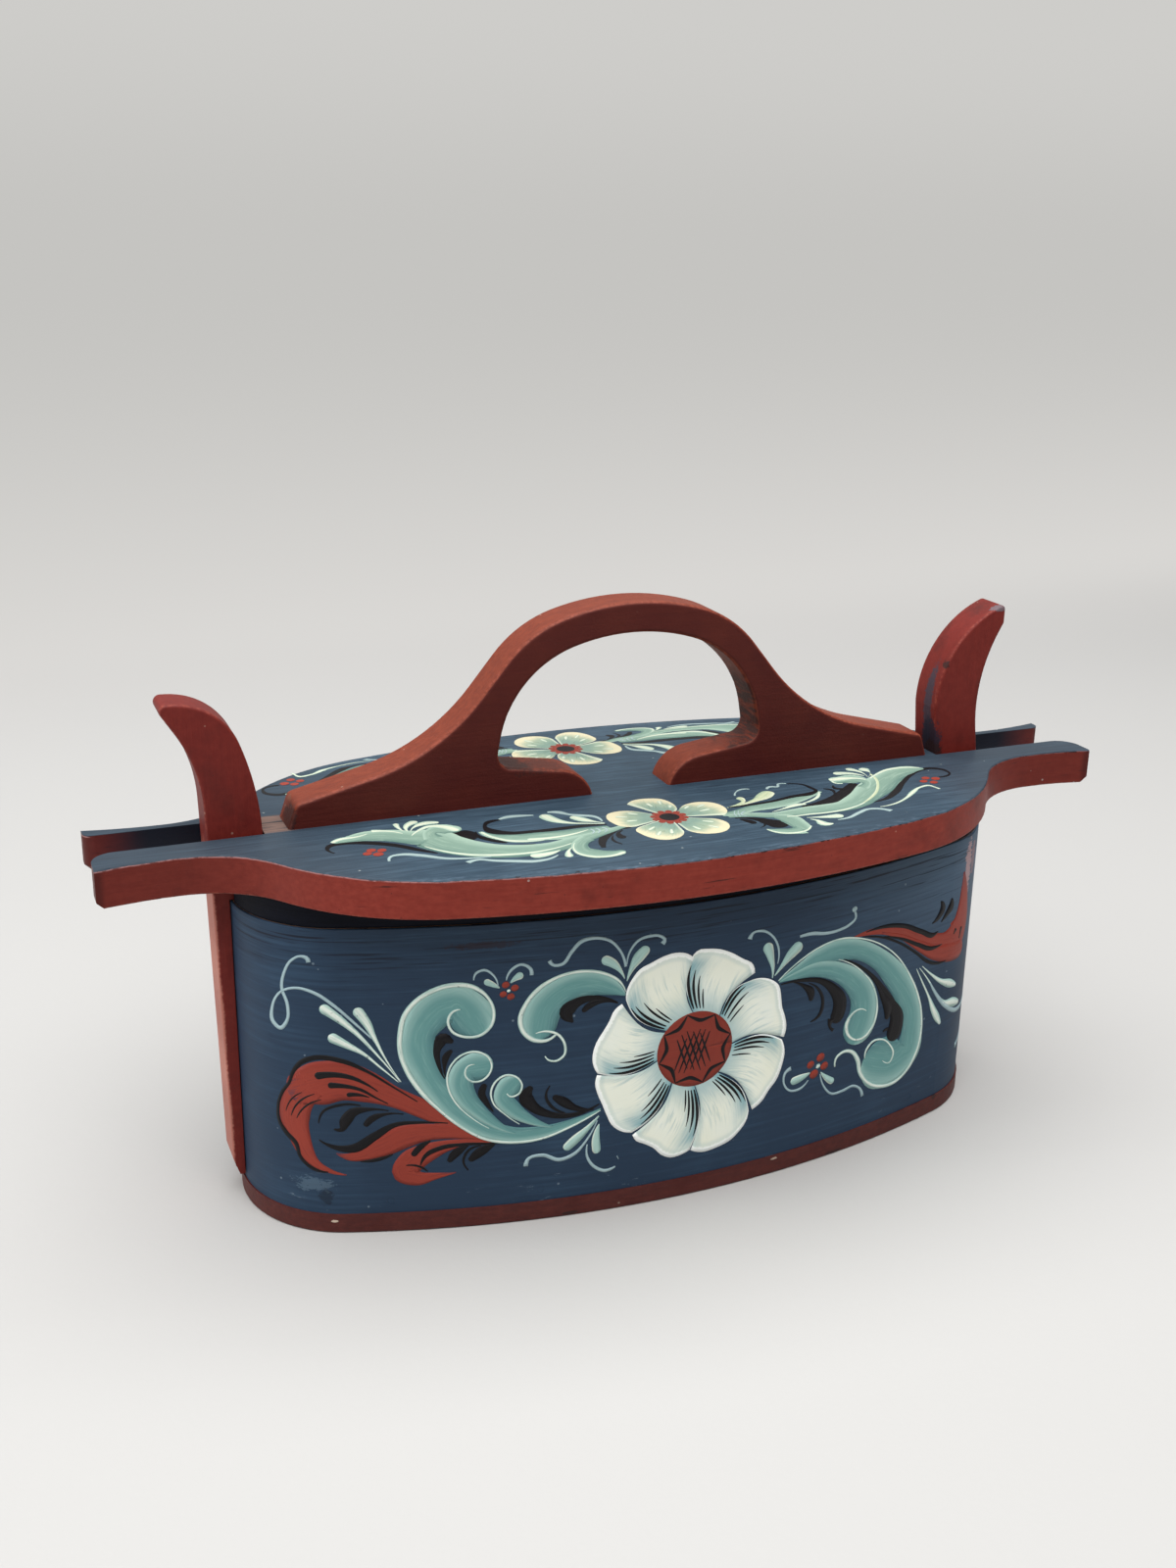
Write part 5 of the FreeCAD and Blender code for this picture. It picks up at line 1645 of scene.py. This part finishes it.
BAND_BLOSSOM = GreatBlossom((3.1, 55.3), 13.8, (
    "1.2 89.9 2.9 91.2 6.6 91.1 10.3 90.4 14.9 88.4 19.7 85.2 23.3 82.9 24.5 79.3",
    "22.5 76.6 26.4 76.9 30.4 75.8 34.2 72.8 35.5 68.1 36.1 64.2 37.6 60.1 38.3 56.1 37.5 52.6",
    "36.8 51.8 38.2 46.9 37.4 41.6 35.4 36.6 32.6 33.4 29.9 29.7 26.2 27.4",
    "24.8 27.4 24.1 23.8 21.5 20.2 17.7 17.3 13 15.9 7.6 15.3 2.9 16.9",
    "2.5 17.2 -0.8 16 -4.5 15.7 -7.9 17.4 -11 20.7 -14.3 22.9 -17.3 24.6 -18.6 27",
    "-19 28 -23.1 29.4 -26 32.1 -27.9 36.2 -29.5 40.4 -31.1 44.4 -32 48.3 -31.4 51.4",
    "-31.3 52 -32.9 55.8 -32.8 60.2 -31.6 63.7 -29.5 67.1 -27.5 70.6 -26.1 73.8 -23.4 76",
    "-22 77 -21.9 80.5 -20.2 84.2 -17.6 87.4 -13.4 89.3 -9.3 90.9 -5 91.5 -0.7 90.4 1.3 88.8",
))


# ---------------------------------------------------------------- the ornament of the lid
LID_STROKES = strokes("""
# right of the blossom
teal 1 T 18.5 -36.3 1.42 23.3 -36.3 2.09 30.3 -34.4 2.52 37 -33.3 3.49 43.7 -32.3 3.43 49.4 -31.1 2.51
  55.7 -28.7 1.7 60.7 -26.5 .97
teal 1 T 19.7 -38.7 1.2 27.5 -39.8 1.86 34.5 -42.6 2.46 40.6 -42.7 3.09 48.1 -42.4 3.68 55.4 -42.7 4.09
  61.5 -42.3 4.22 67.5 -39.7 4.98 72.3 -36.3 5.14 80.1 -30.1 6.14 88.7 -23 5.54 97.9 -17.1 4.4 104 -15.9 3.27
  108.3 -17.2 .56
teal 1 O 33.9 -43.7 1.56 37.3 -46.6 3.74 38.1 -51.8 3.47 38.1 -55 3.15
teal 2 T 36.7 -57.7 3.41 33.6 -57.8 2.6 29.7 -56.2 1.77 26.1 -53.6 .3
teal 2 O 76.9 -27.8 2.18 80.9 -22.4 2.15 78.6 -19.2 4.71 75.1 -18.3 3.68 72.4 -18.5 2.74
cream 3 T 38 -45.2 .37 41.4 -45.7 .45 45.1 -45.7 .54 52.2 -46.2 .61 60 -45.5 .62 67.2 -42.9 .43 72.4 -39.5 .16
pale 3 T 68.9 -41.8 .24 73.8 -38.3 .5 78.8 -33.6 .54 83 -27.8 .51 86.3 -20.7 .51 87 -16 .36
cream 3 T 26.1 -53.6 .24 28.4 -57.6 .64 33.2 -59.6 .69 37.9 -58.7 .47 41.2 -55.5 .29
cream 3 T 70.6 -17.1 .38 70.4 -20.8 .46 72.4 -21.9 .33
cream 3 D 71.8 -17.1 2.06 75.1 -17.2 1.9 79.2 -18.2 .91 82.3 -20.8 .44
cream 3 D 84.7 -20 .44 89.3 -16.8 .62 95.9 -13.7 .84 102.7 -13.7 .86 107.5 -15.8 .35
cream 3 D 59.9 -27.3 .36 56.3 -32.1 .67 52.6 -34.3 .51 48.7 -35.7 .3 45 -36.8 .15
cream 3 D 49.1 -36.2 .81 46 -36.2 1.25 41.5 -37.7 .6 35.5 -39.6 .15
line 4 T 24.3 -34.3 .12 22.7 -37.1 .22 22.3 -39.6 .21
line 4 T 25.4 -34.7 .12 23.9 -37.5 .22 23.4 -40 .21
line 4 T 27.2 -36 .3 25.7 -36.8 .32 24.6 -39.1 .33 25.5 -40.1 .3
black 2 T 23.6 -30.7 .29 32.1 -30.9 .72 41.2 -30 .83 49.7 -28.1 1.06 56.4 -27.5 1.29 59.8 -25.5 .66
  59.6 -21.8 .7 58.8 -18.6 .51 53.9 -15.7 .35
black 0 D 75.1 -24.3 1.91 69.6 -30.4 3.27 62 -35.2 2.81 53.9 -37.6 1.7 47.4 -38 .42
black 1 T 68.1 -22.6 .17 67.6 -25.7 .84 69.6 -26.8 .69 73.1 -24.7 .78
black 0 T 63.2 -24.5 .35 65.3 -26.3 .73 64.3 -30.3 .28 61.1 -32.7 .17
black 0 T 72 -42.2 .24 78 -40.8 .81 85 -35.8 1.32 92.8 -27.5 1.31 100.4 -20.7 1.38 106.1 -18 .99
  110.7 -17.3 1.09 114.4 -20.1 .83 114.3 -24.8 .39 111.4 -26.8 .59 108.5 -26.9 .45
black 0 D 31.7 -50.2 3.58 29.7 -47.2 2.54 27.7 -44.2 1.55 21 -40.8 .31
black 0 D 24.8 -46.4 1.25 23.9 -44.5 1.23 22.1 -42.2 .29
black 0 T 27 -45.6 .24 28 -48.2 .44 26.4 -50.8 .25 25 -51.3 .21
pale 1 D 31.4 -24.1 1.39 31.3 -26.5 .76 28.4 -29 .68 25.1 -30.2 .34 23.2 -30.9 .23
line 2 T 31 -20.8 .39 33 -17.6 .28 36.1 -15.7 .54 38.8 -16.3 .33
pale 1 D 42.6 -22.4 2.43 40.2 -24.4 2.57 35.9 -27.1 1.32 29.8 -29.4 .6 24.2 -30.9 .25
line 2 T 44.5 -18.3 .5 46.7 -16.5 .69 49.1 -17.4 .57 50.9 -14.7 .45 53.6 -15.3 .35
cream 2 D 76.4 -11.6 1.76 80.3 -12.9 1.16 83.9 -16.9 .22
cream 2 D 82.8 -9.1 1.64 84.4 -11.6 .82 84.5 -18.2 .14
cream 2 D 87.5 -11.1 2.06 87.9 -13.6 .42 84.8 -18.3 .12
cream 2 D 54.2 -50.2 1.9 51.3 -49.9 1.42 46.9 -49 .56 43.7 -48.2 .19
cream 2 T 44 -49.9 .19 45.5 -51.4 .65 46.4 -55.3 1.87 49.2 -56 .27
line 2 T 52.3 -53.5 .24 57 -52.8 .66 62.5 -49.8 .85 67.4 -47.8 .78 70.7 -48.6 .83 73.1 -50.8 .99
  73.7 -51.7 1.23
cream 2 T 72.3 -47.1 .16 77.8 -46.3 .41 85.4 -42.3 .54 90.9 -37.8 .94 95.7 -34.4 .53 100.1 -33.7 .65
  101.1 -36.3 .36 101.5 -37.9 .6
red 2 B 103.1 -26.4 1.35
red 2 B 106.2 -28 1.46
red 2 B 100.6 -29.1 1.3
red 2 B 103.4 -31.2 1.35
# left of the blossom
teal 1 T -21.2 -34.7 1.44 -28.6 -35.9 3.23 -37.1 -36.3 3.79 -45 -35.2 3.51 -53.5 -33.9 3.07 -59.4 -29.7 1.77
  -61.6 -25.1 .72
teal 1 T -16.1 -35.6 1.14 -25.2 -38.8 2.04 -35.8 -42.6 3.4 -44.3 -45.4 4.11 -53.8 -45.2 4.88 -62.3 -42.6 5.71
  -69.4 -37.7 6.67 -75.2 -30.8 7.46 -78.5 -25 7.74 -83.5 -22.4 5.8 -89.7 -18.6 5.05 -96.5 -17 4.29
  -102.4 -17.8 2.55 -107.7 -19.2 .89
teal 2 O -31.2 -41.8 2.77 -35.3 -45.3 2.55 -36.7 -51.3 3.02 -34 -55.1 3.58 -30.2 -56.4 2.57 -26.1 -56.3 1.57
cream 3 O -36.8 -44.4 .18 -38.7 -48.2 .26 -39.1 -52.9 .58 -35.7 -57.2 .79 -31 -58.5 .74 -25.9 -57.2 .98
teal 2 O -77.2 -25.5 3.3 -76.1 -19.6 2.31 -72.2 -18.8 4.27 -69.5 -19.8 3.24
cream 3 D -68.9 -20 2.09 -70.9 -17.1 1.84 -75.5 -15.1 1.08 -80 -17.8 .63 -83.1 -21.3 .2
cream 3 T -81.9 -31.6 .19 -76.8 -38.3 .64 -69.9 -43.5 .91 -62.2 -46.3 .92 -53.9 -47.6 .8 -46.4 -47.1 .5
  -38 -44.4 .28
cream 3 T -94 -13.2 1.23 -88.7 -15.1 .6 -85.3 -18.4 .23
cream 3 T -108.1 -19.1 .79 -104.3 -16.7 1.08 -100.7 -16.7 .66 -96 -15.1 .32
cream 3 D -61.2 -26.1 .69 -58.7 -32 .77 -55.6 -35.6 .94 -50.4 -37.9 .85 -44.8 -38.6 .36
cream 3 D -48.6 -36.9 1.2 -42.9 -37.6 .93 -35.1 -37 .64 -28.4 -34.7 .2
line 4 T -27.6 -34.6 .42 -27.1 -36.5 .38 -28.6 -38.5 .27
line 4 T -25.7 -34.4 .42 -25.1 -36.3 .38 -26.7 -38.7 .24
line 4 T -23.6 -34.3 .51 -22.6 -35.9 .43 -24.4 -38.7 .16
black 0 T -20.9 -32.2 .41 -28.1 -30.9 .99 -35.8 -30.8 1.16 -44.8 -30.6 1.38 -53.3 -29.3 1.62 -58 -25.5 1.91
  -58.6 -20.6 .6 -56.4 -17.5 1 -52 -16.8 .56
black 0 T -62.8 -24.3 .16 -63.4 -28.3 .88 -60.6 -33 1.16 -56.7 -36.9 .53
black 0 D -68 -26.6 5.06 -71.5 -25.9 1.76 -70.7 -30.3 1.54 -64.7 -36.5 1.11 -57 -39.7 .77 -48.6 -41 .38
black 0 T -109.5 -27.8 .36 -110.9 -24.2 .59 -109.5 -21.4 1 -105.2 -20.5 1.18 -97.3 -22.9 1.3 -89.5 -28.1 1.25
  -84.6 -33.5 1.02 -79.7 -38.4 .34
black 0 T -14.6 -37.5 .37 -19.2 -37.5 .96 -23.5 -40.3 1.43 -28.2 -46.2 1.29 -29.6 -51 .72
black 0 D -20.7 -44.2 1.43 -20.7 -41.3 .78 -18.2 -38.8 .3
black 0 T -22.8 -42.2 .15 -24.4 -46.3 .47 -23 -50.1 .28
cream 2 D -85.1 -9.9 1.02 -85.1 -13.4 .56 -84.4 -16.2 .14
cream 2 D -79.4 -9.8 1.62 -82 -11.9 1.12 -83.2 -17.1 .17
cream 2 D -72.6 -12.2 1.13 -76 -11.8 1.6 -80.4 -14.2 .46 -82.5 -17.7 .12
cream 2 D -37 -19 2.29 -35.7 -22.6 2.03 -31.3 -27.2 .76 -26 -29.5 .39 -21.3 -31.2 .26
cream 2 D -28.4 -22.9 1.7 -26.4 -25.8 1.83 -23.4 -28.7 .48 -21.1 -30.8 .25
line 2 T -35.1 -15.2 .63 -31.8 -16.3 1.24 -29.1 -19.5 .8 -26 -21.5 1.04 -22.2 -23.8 .91 -21.2 -29 .27
line 2 T -52.2 -16.3 .49 -49.2 -15.1 1.14 -44.6 -15.4 1.05 -40.4 -16.4 .42
cream 2 D -51.5 -50.4 2.21 -47.6 -50.2 1.42 -43.3 -48.6 .18
cream 2 D -42.3 -53.7 1.38 -40.7 -49.5 .46 -38.7 -47.4 .12
line 2 T -95.5 -39.9 .44 -93.7 -36.2 .64 -90.2 -35.9 .94 -85.3 -38.4 1.1 -78.4 -43.6 .88 -70.7 -46 .55
  -65.2 -46.7 .36
line 2 T -73.4 -48.9 1.09 -69.8 -47.8 .73 -65 -50.3 .93 -58.7 -53 1.12 -53.6 -54.8 1.1 -49.2 -54.4 .74
  -45.4 -52.2 .26
red 2 B -98.5 -29.4 1.37
red 2 B -95.4 -30.4 1.31
red 2 B -100.3 -31.7 1.31
red 2 B -97.3 -33.2 1.5
""")
LID_BLOSSOM = LidBlossom((1.1, -32.7), 5.4, (
    "-7.2 -16.8 -4.2 -14 1.3 -13.6 5.7 -15.6 7.5 -20.6 6.5 -27",
    "7 -27.4 11.8 -23.1 16.9 -22.6 20.7 -24.7 22.4 -28.7 21.7 -33.8 19.1 -37",
    "12.3 -37.8 15.4 -39.9 16.8 -44 15.3 -48.3 12.2 -50.8 6.9 -51 3.3 -49 1.4 -45.3",
    "0.1 -46.3 -2.8 -50.3 -6.5 -51.7 -10 -50.7 -12.6 -47.5 -13.9 -43.9 -14.3 -40.7 -10.7 -37.4",
    "-12.8 -37.2 -17 -35.7 -18.7 -31.5 -18.7 -26.4 -17 -23.4 -13.3 -22.1 -9 -23 -5.9 -25.3",
))


# ---------------------------------------------------------------- the object
# pale scrapes and painted light on the outer face of the left post
HORN_SCRAPES_AND_PAINTED_LIGHT = rgb(190, 116, 102)
TAIL_SCRAPES_AND_PAINTED_LIGHT = rgb(188, 124, 108)
REDS = {
    "base_board": OxideRed(
        "red_base", "X", rgb(70, 26, 23), rgb(88, 37, 31), grime=0.7, bare_core=True,
        marks=(Mark((-115.6, -35.2, 4.6), (1.2, 1.2, 0.5), PALE_CHIP),
               Mark((111.9, -36.6, 6.4), (1.4, 1.4, 1.0), DARK_CHIP),
               Mark((-40.0, -52.5, 1.2), (3.0, 3.0, 0.6), DARK_CHIP),
               Mark((36.0, -53.0, 5.8), (1.6, 1.6, 0.5), PALE_CHIP, 0.6),
               Mark((62.0, -49.6, 1.0), (4.0, 3.0, 0.7), DARK_CHIP))),
    "post_left": OxideRed(
        "red_post_left", "Z", rgb(102, 26, 20), rgb(116, 35, 27), streaky=0.4, edges=1.0, half=7.0,
        marks=(Mark((-157.5, -2.6, 166.5), (1.6, 1.4, 1.2), PALE_CHIP),
               # horn and tail of the outer face made paler all over: scrapes and painted light
               Mark((-147.4, 4.0, 138.0), (2.0, 30.0, 12.0), HORN_SCRAPES_AND_PAINTED_LIGHT, 0.65, 0.6),
               Mark((-150.6, 4.0, 152.0), (2.2, 30.0, 8.0), HORN_SCRAPES_AND_PAINTED_LIGHT, 0.65, 0.6),
               Mark((-145.0, 4.0, 24.0), (4.1, 30.0, 46.0), TAIL_SCRAPES_AND_PAINTED_LIGHT, 0.6, 0.4),
               Mark((-145.6, 4.0, 60.0), (4.1, 30.0, 46.0), TAIL_SCRAPES_AND_PAINTED_LIGHT, 0.6, 0.4),
               Mark((-146.2, 4.0, 94.0), (4.1, 30.0, 42.0), TAIL_SCRAPES_AND_PAINTED_LIGHT, 0.6, 0.4),
               Mark((-146.5, 1.0, 158.0), (1.2, 1.0, 1.0), DARK_CHIP),
               Mark((-146.0, 7.0, 143.0), (1.0, 0.8, 1.2), DARK_CHIP),
               Mark((-139.0, -3.0, 120.5), (0.7, 1.0, 0.5), PALE_CHIP, 0.7))),
    "post_right": OxideRed(
        "red_post_right", "Z", rgb(104, 27, 20), rgb(116, 35, 27), grime=0.7, streaky=0.4, edges=1.0,
        half=7.0,
        marks=(Mark((123.0, 2.4, 146.0), (5.0, 3.0, 18.0), rgb(52, 52, 64), 0.85, 1.4),
               Mark((122.0, 0.8, 134.0), (4.0, 5.4, 10.0), OLD_NAVY, 0.92, 1.4),
               Mark((122.0, -0.6, 130.0), (4.0, 4.6, 5.0), DARK_CHIP, 0.8, 1.2),
               Mark((123.4, -2.4, 163.5), (2.4, 2.2, 1.7), DARK_CHIP, rag=3.0),
               Mark((145.5, -1.6, 182.6), (4.0, 2.2, 1.4), rgb(104, 92, 98), 0.9, 1.4))),
    "post_pegs_left": OxideRed("red_pegs_left", "Z"),
    "post_pegs_right": OxideRed("red_pegs_right", "Z"),
    # the handle's flat faces carry a painted shade
    "handle": OxideRed(
        "red_handle", "X", rgb(106, 42, 24), rgb(128, 57, 36), rgb(74, 19, 14), grime=0.15, flank_shade=0.9,
        edges=1.0, sawn=True,
        marks=(Mark((-118.0, 0.5, 133.5), (2.6, 8.0, 5.5), rgb(48, 24, 22), 0.75),
               Mark((-117.0, 7.0, 138.0), (2.0, 4.0, 2.0), rgb(120, 88, 70), 0.4),
               Mark((-34.0, 3.0, 140.0), (13.0, 8.0, 1.4), DARK_CHIP, 0.5, 3.4))),
}
LID_EDGE = OxideRed("red_lid_edge", "X", rgb(120, 40, 30), rgb(136, 52, 40))
SLATE = SlateBlue(marks=(
    Mark((-121.5, -31.8, 17.5), (6.5, 6.0, 2.6), rgb(96, 118, 134), 0.4, 3.6),
    Mark((-117.5, -33.6, 13.5), (2.4, 3.0, 3.0), rgb(22, 30, 42), 0.6, 3.2),
    Mark((121.5, -32.3, 95.0), (2.6, 3.0, 13.0), rgb(186, 150, 148), 0.7, 2.4),
    Mark((125.0, -28.5, 98.0), (2.0, 3.0, 7.0), rgb(160, 116, 116), 0.5),
    Mark((-70.0, -48.0, 101.0), (14.0, 4.0, 1.2), DARK_CHIP, 0.5, 3.0)))
# navy paint darkened almost to black: a painted shade on the plate's edge, which shows in the gap under the
# lid's overhang
PLATE_NAVY_AND_SHADE = PlainPaint("plate_navy_and_painted_shade", rgb(7, 9, 18), rgb(13, 16, 28), shine=0.1, bare_under=107.4)
DARK_IRON = PlainPaint("dark_iron", rgb(46, 42, 40), rgb(84, 76, 70), 0.45, 0.8)


@dataclass
class Tine:
    """The box, its lid and its two posts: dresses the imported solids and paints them.

    On the back of the band the strokes of the front that lie beyond wing_inner are laid again,
    once as they are and once as their mirror image, clear of the laced seam.
    """

    nodes: dict
    wing_inner: float = -29.9

    def dress(self, material: bpy.types.Material, *names: str) -> None:
        """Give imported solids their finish.

        Args:
            material: the finish.
            names: the solids' nodes.
        """
        for name in names:
            mesh = self.nodes[name].data
            mesh.materials.clear()
            mesh.materials.append(material)
            log.info("dressed %s", name)

    def dress_all(self) -> None:
        """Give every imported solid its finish."""
        for name, finish in REDS.items():
            self.dress(finish.make(), name)
        self.dress(SLATE.make(), "side_band", "base_pegs")
        self.dress(LidPaint(LID_EDGE).make(), "lid_board")
        self.dress(PLATE_NAVY_AND_SHADE.make(), "lid_plate")
        self.dress(SplitRoot().make(), "seam_lacing")
        self.dress(DARK_IRON.make(), "handle_screws", "lid_brads")

    def paint(self) -> None:
        """Lay the ornament on the band and the lid."""
        finishes = {paint: finish.make() for paint, finish in BRUSHES.items()}
        for_lid = finishes | {paint: finish.make() for paint, finish in LID_BRUSHES.items()}
        front = Painting("band_front", BandGround("box", "side_band"), finishes)
        front.add(BAND_STROKES)
        front.add_blossom(BAND_BLOSSOM)
        front.build()
        back = Painting("band_back", BandGround("box", "side_band", turn=-1.0), finishes)
        wing = tuple(stroke for stroke in BAND_STROKES if stroke.points[:, 0].max() < self.wing_inner)
        back.add(wing)
        back.add(wing, mirror=True)
        back.build()
        for name, turned in (("lid_near", False), ("lid_far", True)):
            top = Painting(name, LidGround("lid", "lid_board", turned=turned), for_lid)
            top.add(LID_STROKES)
            top.add_blossom(LID_BLOSSOM)
            top.build()


def main() -> None:
    """Build the scene in order."""
    logging.basicConfig(level=logging.INFO, format="%(name)s: %(message)s")
    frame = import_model()
    Studio().build()
    tine = Tine(frame["nodes"])
    tine.dress_all()
    tine.paint()


if __name__ == "__main__":
    main()
